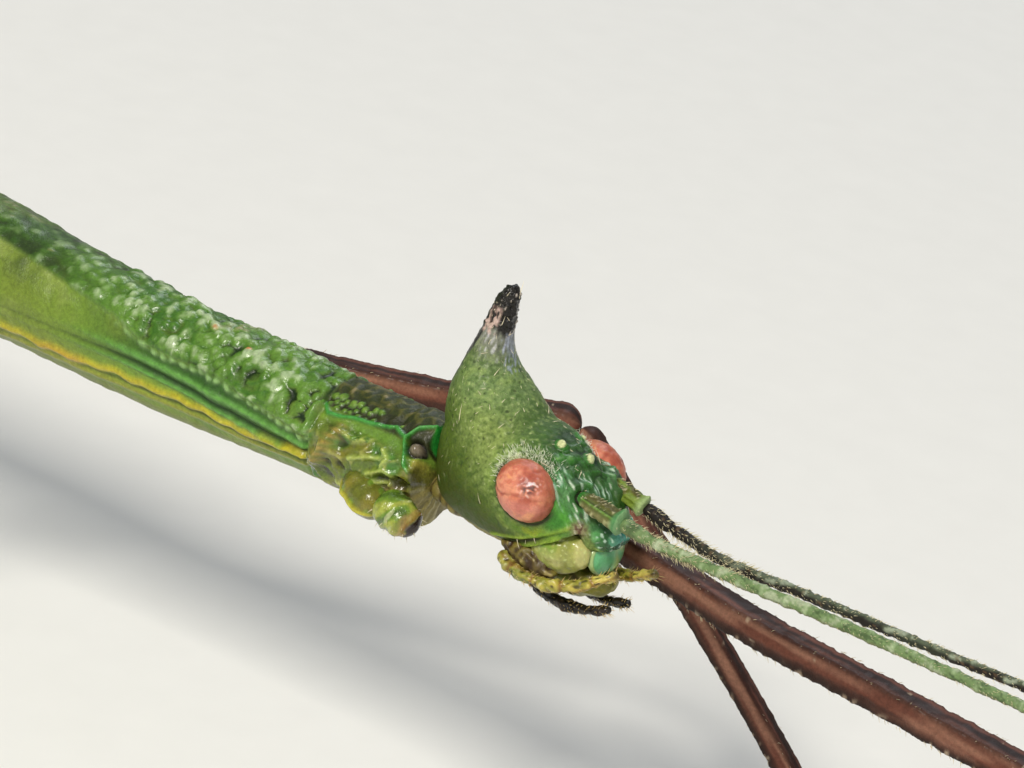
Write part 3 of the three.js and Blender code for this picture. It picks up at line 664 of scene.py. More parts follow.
def rough_horn(t, angle):
    """The horn, longer than it is wide at its foot and narrowing upwards."""
    z = HORN_FOOT + (HORN_TOP - HORN_FOOT) * t
    middle, half_length = (horn_back(z) + horn_front(z)) / 2, (horn_front(z) - horn_back(z)) / 2
    half_width = np.minimum(half_length, 0.34 + 0.24 * (HORN_TOP - z) - 0.5 * step(z, 0.7, HORN_FOOT))
    x, y = middle + half_length * np.cos(angle), half_width * np.sin(angle)
    return np.stack([x, y, z], axis=1), np.ones((len(x), 3)), 1


def fused(shapes, grain, smoothing):
    """One closed skin over closed shapes that overlap, softened where they meet."""
    whole, mesh = bmesh.new(), bpy.data.meshes.new("rough")
    for shape in shapes:
        shape.to_mesh(mesh)
        whole.from_mesh(mesh)
        shape.free()
    whole.to_mesh(mesh)
    whole.free()
    rough = bpy.data.objects.new("rough", mesh)
    bpy.context.scene.collection.objects.link(rough)
    skin = rough.modifiers.new("skin", "REMESH")
    skin.mode, skin.voxel_size = "VOXEL", grain
    soften = rough.modifiers.new("soften", "SMOOTH")
    soften.factor, soften.iterations = 0.5, smoothing
    shown = rough.evaluated_get(bpy.context.evaluated_depsgraph_get())
    bm = bmesh.new()
    bm.from_mesh(shown.to_mesh())
    shown.to_mesh_clear()
    bpy.data.objects.remove(rough)
    bpy.data.meshes.remove(mesh)
    return bm


def worked(bm, shape):
    """Raises each vertex of a skin along its normal and tints it; shape(points, normals) gives
    the height in millimetres, the colour and the gloss."""
    bm.normal_update()
    points = np.array([v.co[:] for v in bm.verts])
    normals = np.array([v.normal[:] for v in bm.verts])
    raised, tint, gloss = shape(points, normals)
    lay_out(bm, points + normals * raised[:, None], tint, gloss)
    bmesh.ops.recalc_face_normals(bm, faces=bm.faces)
    return bm


def near_any(points, spots):
    """How far each point lies from the nearest of the spots."""
    return np.array([np.linalg.norm(points - spot, axis=1) for spot in spots]).min(axis=0)


# The bosses between the eyes: places drawn over the brow and kept where they hardly overlap.
BOSS_TRIES, BOSS_RADII = 700, (0.1, 0.26)
draw = np.random.default_rng(11)
boss_centres, boss_radii = [], []
for _ in range(BOSS_TRIES):
    x, y = draw.uniform(-0.3, 1.6), draw.uniform(-1.15, 1.15)
    spot = np.array([x, y, float(head_top(np.array([x]))[0]) - 0.36 * y**2])
    radius = draw.uniform(*BOSS_RADII)
    if all(
        np.linalg.norm(spot - other) > 0.8 * (radius + reach)
        for other, reach in zip(boss_centres, boss_radii)
    ):
        boss_centres.append(spot)
        boss_radii.append(radius)
boss_centres, boss_radii = np.array(boss_centres), np.array(boss_radii)
CHEEK_FOLDS = [
    # route and height
    ([(-1.1, 1.2, -1.76), (-0.13, 1.3, -1.42), (0.7, 1.27, -0.96), (1.1, 1.15, -0.7)], 0.045),
    ([(-0.35, 1.15, -1.84), (0.1, 1.2, -1.56), (0.56, 1.22, -1.24), (0.86, 1.18, -1.07)], 0.085),
]
CHEEK_GROOVE = [(-1.0, 1.2, -1.96), (-0.25, 1.25, -1.64), (0.4, 1.26, -1.26), (0.95, 1.2, -0.9)]
CHEEK_JOINT = (1.31, 1.05, -0.69)
FIBROUS_SKIN = [(0.42, 0.95, 0.4), (0.85, 1.02, 0.0), (1.3, 1.0, -0.32)]
BETWEEN_SOCKETS = [(0.98, 0.55, 0.34), (1.3, 0.1, 0.1)]


def head_surface(points, normals):
    """The raised forms, colours and gloss of the head and its horn."""
    x, y, z = points.T
    side = np.abs(y)
    folded = np.stack([x, side, z], axis=1)
    fine, mid, broad = ripple(points, 0.16, 21), ripple(points, 0.5, 22), ripple(points, 1.4, 23)
    finer = ripple(points, 0.085, 25)
    eye_reach = EYE_RADIUS * eye_ring(x, y, z)
    streak = ripple(points * (1, 1, 0.28), 0.085, 27)
    on_side = step(side, 0.9, 1.2)
    front = step(x + 0.3 * z - 0.2 * side, -0.45, 0.3) * step(z, -0.75, -0.45)
    crown = front * step(z - 0.5 * (x - 0.6) + 0.45 * (1.0 - side), -0.15, 0.3)

    # Raised forms: bosses between the eyes, three simple eyes, sockets, folds and the horn's crust.
    boss, which = cobbles(points, boss_centres, boss_radii)
    boss = boss * (0.4 + 0.6 * np.sin(which * 1.7) ** 2)
    crumple = np.clip(1 - np.abs(ripple(points, 0.5, 26)), 0, 1)
    bosses = (0.5 * boss + 0.5 * crumple**2) * crown
    dome = np.clip(1 - (near_any(points, OCELLI) / OCELLUS_RADIUS) ** 2, 0, 1) ** 0.7
    beads = np.array([
        np.hypot(np.linalg.norm(points - spot, axis=1), 0.8 * ((points - spot) @ (0.8, 0.6, 0)))
        for spot in OCELLUS_BEADS
    ]).min(axis=0)
    bead = np.clip(1 - (beads / BEAD_RADIUS) ** 2, 0, 1) ** 0.5
    sockets = near_any(points, ANTENNA_SOCKETS)
    collar = hump(sockets, SOCKET_COLLAR, 0.1) * step(x, 0.5, 0.8)
    well = step(sockets, 0.24, 0.16)
    far_fall = step(y, 0.25, 0.8) * hump(x, 0.25, 0.6) * step(z, 0.0, 0.5)
    eye_rim = hump(eye_reach, 0.87, 0.07) * on_side
    folds = [(near_route(folded, line, 0.06), height) for line, height in CHEEK_FOLDS]
    cheek_groove = near_route(folded, CHEEK_GROOVE, 0.07) * step(x, 1.1, 0.2)
    shaded_recess = step(cheek_edge(x) - z, -0.02, 0.1) * step(x, -0.95, -0.4)
    shaded_recess = shaded_recess * step(x, 1.5, 1.25) * step(side, 0.3, 0.7)
    suture = near_route(folded, SUTURE, 0.05)
    clypeus = step(x + 0.55 * (z + 0.6), 1.38, 1.5) * step(z, -0.45, -0.6)
    lobes = sum(
        np.clip(1 - np.linalg.norm((folded - spot) / size, axis=1) ** 2, 0, 1)
        for spot, size in CLYPEUS_LOBES
    )
    crust = step(z, 2.85, 3.25)
    flake = ripple(points * (1.3, 1.3, 0.4), 0.12, 24) + 0.5 * finer
    flakes = step(flake, 0.3, 0.8) * crust
    gula = step(z, -1.78, -1.94) * step(x, 0.4, -0.4)
    vivid = step(side, 0.7, 0.95) * step(sockets, 0.3, 0.42) * np.exp(
        -(((x - 0.86) / 0.42) ** 4 + ((z + 0.52) / 0.46) ** 4)
    )
    bosses = bosses * (1 - vivid)
    raised = (
        0.09 * bosses + 0.07 * dome + 0.09 * bead + 0.12 * collar - 0.05 * well + 0.035 * eye_rim
        - 0.24 * far_fall + sum(line * height for line, height in folds) - 0.06 * cheek_groove
        - 0.27 * shaded_recess - 0.05 * suture - 0.06 * gula + 0.13 * np.clip(lobes, 0, 1)
        + 0.012 * clypeus * fine + 0.005 * fine * (1 + 2 * front * (1 - vivid))
        + 0.006 * mid + 0.003 * finer + crust * (0.014 * fine + 0.012 * finer) + 0.022 * flakes
    )

    # Where each colour lies.
    low_back = step(0.75 * (x + 1.9) + z + 0.12 * mid, 0.75, -0.9)
    forehead = step(x + 0.35 * z, -1.3, -0.35) * step(z, 0.1, 0.5)
    mottle = ripple(points, 0.22, 28) + 0.6 * fine
    bloom = hump(eye_reach, 0.9, 0.16) * step(z - 0.4 * x, 0.3, 0.7) * on_side
    grit = ripple(points, 0.075, 35)
    below_eye = hump(x, 0.3, 0.8) * hump(z, -1.12, 0.2) * on_side
    rough_skin = near_route(folded, FIBROUS_SKIN, 0.2)
    rough_skin = np.clip(1.5 * rough_skin + near_route(folded, BETWEEN_SOCKETS, 0.2), 0, 1)
    strokes = ripple(np.stack([0.18 * (x - z), 0.7 * (x + z), y], axis=1), 0.055, 29)
    joint = np.clip(1.4 * hump(np.linalg.norm(folded - CHEEK_JOINT, axis=1), 0, 0.2), 0, 1)
    shaded_rim = hump(eye_reach, 0.84, 0.06) * step(z + 0.5 * x, 0.2, -0.3) * on_side
    sheen = step(z, 2.1, 2.5) * step(z, 3.15, 2.9) * step(normals[:, 0], 0.86, 0.97)
    grey_foot = step(z, 2.3, 2.95)
    standing = ripple(points * (1, 1, 0.3), 0.06, 53)
    silver_sheen = step(z, 2.1, 2.6) * step(normals[:, 0], -0.5, 0.1)
    black = step(z + 0.1 * mid + 0.03 * finer + 0.65 * step(-normals[:, 0], 0.25, 0.7), 2.92, 3.08)
    scales = step(np.abs(z - 3.3), 0.42, 0.3)
    scales = scales * step(normals[:, 0], 0.5, 0.25) * step(normals[:, 0], -0.75, -0.55)
    shaded_back_edge = step(normals[:, 0] - 0.12 * (z - 2.5), -0.55, -0.8) * step(z, 0.7, 2.2)

    # Colours: dark olive cheeks, a green brow with wet bosses, pale rough skin and a black horn tip.
    tint = painted(
        "#6E8440",
        # a lighter patch mid-side, partly the head's own tone and partly a painted pool of light
        ("#7C8E46", np.exp(-(((x + 1.5) / 0.8) ** 2 + ((z - 0.6) / 0.8) ** 2)) * 0.9),
        ("#67804A", step(z, 0.9, 1.7) * 0.8),
        ("#737A60", step(z, 1.9, 2.7) * 0.9),
        ("#445802", low_back * 0.95),
        ("#364200", step(0.5 * (x + 1.9) + z, -0.4, -1.2) * 0.8),
        ("#50681C", step(broad, 0.2, 1.4) * 0.45),
        # the forehead, the mottle and the bloom of wax
        ("#34541A", forehead * 0.95),
        ("#3A6412", forehead * step(x + 0.35 * z, -0.5, 0.1) * 0.8),
        ("#6E8C34", hump(eye_reach, 1.02, 0.2) * step(x + z, 0.6, -0.4) * step(z, -0.7, 0) * 0.7),
        ("#33500E", step(mottle, -0.2, -1.3) * 0.3),
        ("#8CA04E", step(mottle, 0.5, 1.5) * 0.25 * step(low_back, 0.8, 0.2)),
        ("#B8C69A", bloom * step(finer + 0.4 * fine, -0.6, 0.7) * 0.9),
        ("#A9B67A", step(finer, 1.2, 1.7) * 0.5 * step(low_back, 1.0, 0.3)),
        ("#A9B57C", step(streak, 0.5, 1.6) * 0.15 * step(z, -1.6, 0.2)),
        ("#33500E", step(grit + 0.3 * mottle, -0.2, -1.2) * 0.5),
        ("#9DB068", step(grit + 0.2 * mottle, 0.5, 1.4) * 0.35 * step(low_back, 1.0, 0.3)),
        ("#20300A", step(finer + 0.5 * mid, -1.5, -1.9) * 0.7),
        # the bright patch below the eye
        ("#5E8A08", below_eye * 0.85),
        ("#8E9A1E", below_eye * step(mottle, 0.0, 0.9) * step(x, 1.0, 0.2) * 0.7),
        ("#2C5A0C", below_eye * step(mottle, -0.4, -1.2) * 0.7),
        # the wet brow with its bosses, painted shade between them and painted highlights on their tops,
        # the patch before each eye, the simple eyes and their beads
        ("#1F4A10", front * 0.9),
        ("#0D2608", crown * step(bosses, 0.3, 0.05) * 0.9),
        ("#2C6818", crown * step(bosses, 0.35, 0.8) * 0.9),
        ("#7FA862", crown * step(bosses + 0.1 * fine, 0.78, 1.0) * 0.55),
        ("#33751C", vivid),
        ("#4E9A26", vivid * step(mid + 0.4 * fine, -0.2, 0.9) * 0.6),
        ("#327022", step(dome, 0.1, 0.4) * 0.9),
        ("#C8CE96", step(bead, 0.1, 0.35)),
        # the fibrous skin by the feelers, their sockets, the cheek's folds and its groove, and painted
        # shade in the recess under the cheek's edge
        ("#4E8448", rough_skin * 0.8),
        ("#7FB49A", rough_skin * step(strokes, 0.0, 0.6) * step(mid, -0.4, 0.6) * 0.9),
        ("#D2DEC8", rough_skin * step(strokes, 0.5, 1.1) * 0.9),
        ("#1C3410", rough_skin * step(strokes, -0.6, -1.2) * 0.8),
        ("#1C1A0C", well * 0.9),
        ("#8FAA34", np.clip(sum(line for line, _ in folds), 0, 1) * (0.6 + 0.3 * step(mid, -1, 1))),
        ("#2E2410", cheek_groove * step(x, 0.9, 0.1) * 0.9),
        ("#2E2410", shaded_recess * 0.9),
        # the clypeus over the upper lip, with painted shade between its lobes and painted glints, the
        # jaw's joint, a painted shadow under the eye's rim, and the head's underside
        ("#4E9050", clypeus * 0.95),
        ("#86BC7E", clypeus * step(lobes + 0.12 * fine, 0.4, 0.8) * 0.85),
        ("#4AA294", clypeus * step(x + 0.3 * y, 1.62, 1.9) * (0.5 + 0.4 * step(mid, -0.6, 0.6))),
        ("#1C4420", clypeus * step(lobes + 0.15 * mid, 0.3, 0.0) * 0.8),
        ("#D2ECD8", clypeus * step(finer + 0.5 * fine, 0.9, 1.5) * 0.8),
        ("#0F2E22", suture * 0.85),
        ("#8C8060", joint * 0.85),
        ("#D8D2BC", joint * step(strokes, 0.5, 1.2) * 0.8),
        ("#4E2A1C", joint * step(finer + 0.5 * mid, 0.2, 0.7) * 0.85),
        ("#28330A", shaded_rim),
        ("#8A8038", gula * (0.75 + 0.2 * step(mid, -1, 1))),
        ("#3E3416", gula * step(z, -2.12, -2.24) * 0.9),
        # the horn: grey sides, then painted sheen, glints and silvery streaks of reflection down its
        # front, painted shade along its back edge, and its black crusted tip
        ("#8E9AB4", sheen * (0.4 + 0.3 * step(fine, -1, 1))),
        ("#7E7C78", grey_foot * 0.6),
        ("#C4C2C8", silver_sheen * step(standing, 0.2, 1.2) * 0.55),
        ("#3E4038", silver_sheen * step(standing, -0.3, -1.1) * 0.5),
        ("#A2ABC2", step(z, 1.5, 2.1) * step(normals[:, 0], 0.7, 0.85)
         * step(standing, 0, 0.8) * 0.6),
        ("#14110D", black),
        ("#C8AEA2", scales * step(flake, -0.9, -0.4) * 0.9),
        ("#5E4840", scales * step(standing, -0.4, -1.0) * 0.8),
        ("#DCCFC0", step(standing + 0.4 * finer, 1.3, 1.7) * black * 0.9),
        ("#1D2212", shaded_back_edge * 0.9),
    )
    wet_front = front * step(bosses, 0.1, 0.5) + 0.2 * front
    gloss = 0.06 + 0.75 * wet_front + 0.8 * clypeus + 0.6 * black + 0.4 * below_eye + 0.4 * vivid
    gloss = np.clip(gloss + 0.5 * silver_sheen + 0.3 * rough_skin, 0, 1)
    return raised, tint, gloss


capsule = fused(
    [sleeve(rough_capsule, rings=90, sides=96), sleeve(rough_horn, rings=70, sides=72)],
    grain=HEAD_GRAIN, smoothing=60,
)
# Pitted chitin under a bloom of wax: the eye sees it dull and powdery on the cheeks, and wet and
# glinting on the brow, on the plate above the upper lip and on the horn's tip.
waxy_cuticle = cuticle(
    "waxy_pitted_cuticle", grain=0.055, relief=0.013, roughness=0.22, variety=0.3, coat=0.3,
    glow=0.04,
)
finish(worked(capsule, head_surface), "head_skin", waxy_cuticle, "head_green", "head", "horn")

# ---------------------------------------------------------------------------------------------
# The compound eyes: coral-red domes of tiny facets under a clear cornea, seen as a fine mottle,
# with a dark wavy band across the middle of each.


def eye_surface(points, normals):
    """The eye on the side the loop is at: faint lumps, a dark band across it and its pigment, with
    painted glints: pale flecks, and white specks in a dark spot.
    """
    x, y, z = points.T
    across, up, out = x + EYE_BACKS[side], z + EYE_DROPS[side], np.abs(y) - EYE_OUTS[side]
    fine, mid = ripple(points, 0.1, 31), ripple(points, 0.34, 32)
    lobes, _ = cobbles(points, eye_lobes, eye_lobe_radii)
    level = up - 0.17 * across - 0.27 * out     # height above the tilted plane of the dark band
    band_at = -0.12 + 0.14 * step(across, -0.2, -0.75) + 0.03 * np.sin(across * 6 + 0.6)
    band_at = band_at + 0.015 * fine + 0.02 * mid
    band = hump(level, band_at, 0.045) * (0.6 + 0.4 * step(across, 0.05, -0.2))
    band = np.clip(band * step(across, 0.75, 0.6) * (0.8 + 0.3 * mid), 0, 1)
    upper_band = hump(across, 0.12 + 0.3 * level, 0.06) * step(level, 0.12, 0.3)
    raised = 0.012 * lobes + 0.003 * fine - 0.02 * band - 0.008 * upper_band
    glint_flecks = step(ripple(points, 0.17, 33) + 0.3 * fine, 0.8, 1.3) * np.exp(
        -(((across - 0.2) / 0.5) ** 2 + ((level - 0.08) / 0.22) ** 2)
    )
    finest = ripple(points, 0.065, 34)
    spot = hump(np.hypot(across - 0.38, up - 0.34), 0, 0.15) * step(out, 0, 0.3)
    tint = painted(
        "#C8765C",
        ("#DC9A7C", step(lobes + 0.3 * mid + 0.2 * fine, 0.5, 1.0) * 0.5),
        ("#DE9A64", step(mid + 0.3 * fine, 0.6, 1.4) * step(level, -0.3, 0.0) * 0.7),
        ("#A04C3C", step(mid + 0.3 * fine, -0.3, -1.3) * 0.75),
        ("#C67E70", step(level, -0.15, -0.35) * 0.6),
        ("#DE9A70", step(level, -0.4, -0.55) * step(across, -0.1, 0.3)
         * step(mid + 0.4 * fine, 0.2, 0.9) * 0.8),
        # painted glints: pale peach flecks
        ("#F0B890", glint_flecks * 0.9),
        ("#7E3024", band * 0.9),
        ("#DE9A7C", hump(level, band_at + 0.12, 0.06) * 0.5),
        ("#A04C38", upper_band * 0.7),
        ("#94452F", step(np.hypot(across, up), 0.64, 0.78) * 0.6),
        ("#4A3638", np.clip(spot * 1.5, 0, 1) * step(finest, 0.3, -0.4) * 0.85),
        # a painted highlight: white specks in the dark spot
        ("#E8E4E8", np.clip(spot * 1.4, 0, 1) * step(finest, 0.4, 0.9) * 0.9),
    )
    return raised, tint, 0.5


# Thousands of tiny lenses over coral pigment: the eye sees a soft glow from inside, and a broad
# highlight broken up by the facets.
facet_cornea = cuticle(
    "faceted_clear_cornea", grain=0.05, relief=0.004, roughness=0.3, variety=0.12, coat=0.2,
    glow=0.2,
)
EYE_LUMPS, EYE_LUMP_RADII = 260, (0.07, 0.14)
draw = np.random.default_rng(5)
for side, sign in SIDES.items():
    ball = bmesh.new()
    bmesh.ops.create_icosphere(ball, subdivisions=6, radius=EYE_RADIUS)
    eye_place = (-EYE_BACKS[side], EYE_OUTS[side] * sign, -EYE_DROPS[side])
    bmesh.ops.scale(ball, vec=EYE_SHAPE, verts=ball.verts)
    bmesh.ops.rotate(
        ball, cent=(0, 0, 0), matrix=Matrix.Rotation(EYE_TILT, 3, "Y"), verts=ball.verts
    )
    bmesh.ops.translate(ball, vec=eye_place, verts=ball.verts)
    ways = draw.normal(size=(EYE_LUMPS, 3))
    ways /= np.linalg.norm(ways, axis=1)[:, None]
    eye_lobes = EYE_RADIUS * ways * EYE_SHAPE + eye_place
    eye_lobe_radii = draw.uniform(*EYE_LUMP_RADII, EYE_LUMPS)
    finish(worked(ball, eye_surface), f"eye_{side}_cornea", facet_cornea, "eye_coral", f"eye_{side}")

# ---------------------------------------------------------------------------------------------
# The mouthparts: two smooth bulging mandibles under the cheeks, the clear teal upper lip with its
# notch between them, and the yellow-green lower lip that closes the mouth from below.


def lobe(size, tilt, place, fineness=6):
    """A rounded lobe: its half sizes, its nose-down tilt in radians, and its place."""
    bm = bmesh.new()
    bmesh.ops.create_icosphere(bm, subdivisions=fineness, radius=1)
    bmesh.ops.scale(bm, vec=size, verts=bm.verts)
    bmesh.ops.rotate(bm, cent=(0, 0, 0), matrix=Matrix.Rotation(tilt, 3, "Y"), verts=bm.verts)
    bmesh.ops.translate(bm, vec=place, verts=bm.verts)
    return bm


def mandible_surface(points, normals):
    """A jaw: smooth and bulging, with a rolled rim in front and below."""
    x, _, z = points.T
    fine, mid = ripple(points, 0.12, 41), ripple(points, 0.4, 42)
    front_rim = step(x + 0.25 * z, 0.9, 1.04)
    hollow = hump(x + 0.25 * z, 0.72, 0.14) * step(z, -2.1, -1.8)
    lower_rim = step(z - 0.32 * (x - 0.8), -2.0, -2.12)
    upper_seam = hump(z - 0.42 * (x - 0.8), -1.2, 0.05)
    tint = painted(
        "#969A4C",
        ("#7A9038", step(mid, 0.1, 1.3) * 0.7),
        ("#5E8A20", step(x, 1.1, 0.6) * step(z, -1.65, -1.4) * step(fine, -0.8, 0.9) * 0.8),
        ("#A8A468", np.exp(-(((x - 0.85) / 0.4) ** 2 + ((z + 1.75) / 0.2) ** 2)) * 0.8),
        ("#B4B070", np.clip(front_rim + 0.6 * lower_rim, 0, 1) * 0.8),
        ("#5E6C1E", upper_seam * 0.7),
        ("#6E4A1E", step(z - 0.32 * (x - 0.8), -2.08, -2.16) * step(fine, -0.2, 0.6) * 0.7),
        ("#7E8444", hollow * 0.7),
        ("#B8C27C", step(ripple(points, 0.07, 60), 0.9, 1.4) * step(z, -1.9, -1.5) * 0.6),
        ("#5A4A1E", step(x - 0.5 * (z + 1.7), 0.2, -0.15) * 0.8),
    )
    raised = (
        0.02 * front_rim + 0.03 * lower_rim - 0.02 * hollow + 0.01 * fine + 0.014 * mid
        - 0.02 * upper_seam
    )
    return raised, tint, 0.75


def upper_lip_surface(points, normals):
    """The upper lip: a clear teal flap, notched in the middle, with a pale thick edge."""
    _, y, z = points.T
    mid = ripple(points, 0.3, 44)
    notch = hump(y, 0, 0.13) * step(z, -1.6, -1.95)
    rim = np.hypot(y / 0.68, (z + 1.55) / 0.48)
    edge = step(rim, 0.93, 1.0)
    tint = painted(
        "#68B47C",
        ("#A0CE98", step(mid, 0.0, 1.2) * 0.6),
        # a painted band of shade across the lip
        ("#3A8A5A", hump(y + 0.3 * z, -0.6, 0.14) * 0.6),
        ("#A8B468", step(y, -0.02, 0.2) * step(mid + 2 * (z + 1.6), -0.6, 0.6) * 0.7),
        ("#A6B070", edge * 0.75),
    )
    return -0.05 * notch + 0.025 * edge + 0.008 * mid, tint, 1.0


def lower_lip_surface(points, normals):
    """The lower lip, divided into lobes by brown grooves along and across it."""
    x, y, _ = points.T
    mid = ripple(points, 0.3, 45)
    groove = hump(y, 0, 0.05) + hump(np.abs(y) - 0.5 - 0.1 * x, 0, 0.05)
    cross = hump(x, 0.1, 0.05)
    tint = painted(
        "#666A22",
        ("#8E8A36", step(x, 0.9, 1.5) * 0.8),
        ("#453A16", step(x, 0.7, -0.2) * 0.8),
        ("#4E4A1C", step(mid, 0.0, 0.9) * 0.7),
        ("#9A9E5A", step(ripple(points, 0.11, 57), 0.9, 1.4) * 0.6),
        ("#3A2A14", np.clip(groove + cross, 0, 1) * 0.8),
    )
    return 0.035 * mid + 0.012 * ripple(points, 0.13, 58) - 0.06 * groove - 0.05 * cross, tint, 0.4


# Thin, smooth, wet chitin: light gets a little way into it, and its highlights are bright.
mouth_cuticle = cuticle(
    "smooth_mouth_cuticle", grain=0.09, relief=0.005, roughness=0.22, variety=0.14, coat=0.5,
    glow=0.15,
)
for side, sign in SIDES.items():
    jaw = lobe(size=(0.95, 0.45, 0.62), tilt=-0.16, place=(0.62, 0.76 * sign, -1.56))
    finish(
        worked(jaw, mandible_surface),
        f"mandible_{side}_shell", mouth_cuticle, "mouth_pale", f"mandible_{side}",
    )
lip = lobe(size=(0.24, 0.7, 0.5), tilt=-0.2, place=(1.58, 0, -1.55))
finish(worked(lip, upper_lip_surface), "upper_lip", mouth_cuticle, "lip_teal", "labrum")
lip = lobe(size=(1.25, 0.72, 0.5), tilt=-0.03, place=(0.75, 0, -2.38))
finish(worked(lip, lower_lip_surface), "lower_lip", mouth_cuticle, "mouth_pale", "labium")

# ---------------------------------------------------------------------------------------------
# The throat and the stipites: a pleated membrane under the back of the head, and a dark wrinkled
# plate beside each jaw. They close the gaps behind the mouthparts and stand for no solid.


def throat_surface(points, normals):
    """Soft skin in pleats across the throat."""
    x = points[:, 0]
    fine, mid = ripple(points, 0.15, 48), ripple(points, 0.4, 49)
    pleats = np.cos(x * 2 * math.pi / 0.34 + 1.5 * mid)
    tint = painted(
        "#6E6430",
        ("#968C50", step(mid, 0.0, 1.0) * 0.7),
        # painted shade in the folds between the pleats
        ("#342A10", step(pleats, -0.4, -0.95) * 0.75),
    )
    return 0.02 * pleats + 0.02 * mid + 0.008 * fine, tint, 0.05


def stipes_surface(points, normals):
    """The rough brown plate that carries a maxillary palp."""
    fine, mid = ripple(points, 0.1, 50), ripple(points, 0.3, 56)
    tint = painted(
        "#54461E",
        ("#746A2A", step(mid, -0.2, 1.0) * 0.8),
        ("#2E1C0C", step(fine + 0.5 * mid, 0.4, -0.5) * 0.85),
        ("#A89A62", step(fine, 1.1, 1.5) * 0.7),
    )
    return 0.035 * mid + 0.022 * fine, tint, 0.1


fold = lobe(size=(1.3, 0.75, 0.42), tilt=0.1, place=(-2.75, 0, -1.8))
finish(worked(fold, throat_surface), "throat", mouth_cuticle, "membrane")
for side, sign in SIDES.items():
    plate = lobe(size=(0.85, 0.36, 0.32), tilt=0.22, place=(0.0, 0.98 * sign, -2.02), fineness=5)
    finish(worked(plate, stipes_surface), f"stipes_{side}", mouth_cuticle, "mouth_pale")

# ---------------------------------------------------------------------------------------------
# The palps: jointed feelers round the mouth. The maxillary pair is yellow and wrinkled, with
# rust-brown creases and dark-haired tips; the shorter labial pair is black.
UP = np.array([0, 0, 1.0])


def route(points):
    """A smooth way through points in space: a function of the share of its length, 0 to 1, that
    gives the places and the directions to the right and up there."""
    points = np.array(points, float)
    chord = np.concatenate([[0], np.cumsum(np.linalg.norm(np.diff(points, axis=0), axis=1))])
    tracks = [through(*zip(chord, column)) for column in points.T]
    fine = np.linspace(0, chord[-1], 900)
    trace = np.stack([track(fine) for track in tracks], axis=1)
    run = np.concatenate([[0], np.cumsum(np.linalg.norm(np.diff(trace, axis=0), axis=1))])
    headings = np.gradient(trace, run, axis=0)

    def at(share):
        where = np.clip(share, 0, 1) * run[-1]
        place = np.stack([np.interp(where, run, column) for column in trace.T], axis=1)
        ahead = np.stack([np.interp(where, run, column) for column in headings.T], axis=1)
        ahead /= np.linalg.norm(ahead, axis=1)[:, None]
        right = np.cross(ahead, UP)
        right /= np.linalg.norm(right, axis=1)[:, None]
        return place, ahead, right, np.cross(right, ahead)

    at.length = run[-1]
    return at


def limb(way, skin, rings, sides, blunt=1):
    """A closed skin round a way. skin(share, angle, points) gives the reach, the colour and the
    gloss; angle 0 is the limb's upper side. Its ends are rounded off, the far one less if blunt."""
    def shape(t, angle):
        bend = 0.5 - 0.5 * np.cos(math.pi * t)
        share = 0.75 * t + 0.25 * bend
        place, _, right, up = way(share)
        outward = right * np.sin(angle)[:, None] + up * np.cos(angle)[:, None]
        reach, tint, gloss = skin(share, angle, place + outward * 0.2)
        ends = np.minimum(share, blunt * (1 - share)) * way.length / np.maximum(reach, 1e-3)
        reach = reach * np.sqrt(np.clip(1 - (1 - np.clip(ends, 0.02, 1)) ** 2, 0, 1))
        return place + outward * reach[:, None], tint, gloss

    return sleeve(shape, rings, sides)


PALP_JOINTS = (0.16, 0.36, 0.58, 0.8)
palp_paths = {
    "maxillary_palp_right": [
        (-0.75, -1.15, -2.12), (-0.3, -1.3, -2.33), (0.48, -1.3, -2.38), (1.15, -1.15, -2.3),
        (1.62, -0.88, -2.14), (1.95, -0.6, -1.95), (2.26, -0.34, -1.74),
    ],
    "maxillary_palp_left": [
        (-0.75, 1.15, -2.12), (-0.3, 1.3, -2.33), (0.48, 1.28, -2.42), (1.3, 0.98, -2.42),
        (1.93, 0.6, -2.2), (2.45, 0.45, -1.93), (2.93, 0.4, -1.66),
    ],
    "labial_palp_right": [
        (-0.35, -0.5, -2.72), (0.15, -0.58, -2.92), (0.54, -0.6, -3.0), (1.16, -0.6, -3.02),
        (1.86, -0.6, -2.84), (2.37, -0.58, -2.6),
    ],
    "labial_palp_left": [
        (-0.35, 0.5, -2.72), (0.15, 0.58, -2.92), (0.54, 0.6, -3.02), (1.16, 0.56, -3.06),
        (1.7, 0.52, -3.02), (2.25, 0.5, -2.84),
    ],
}


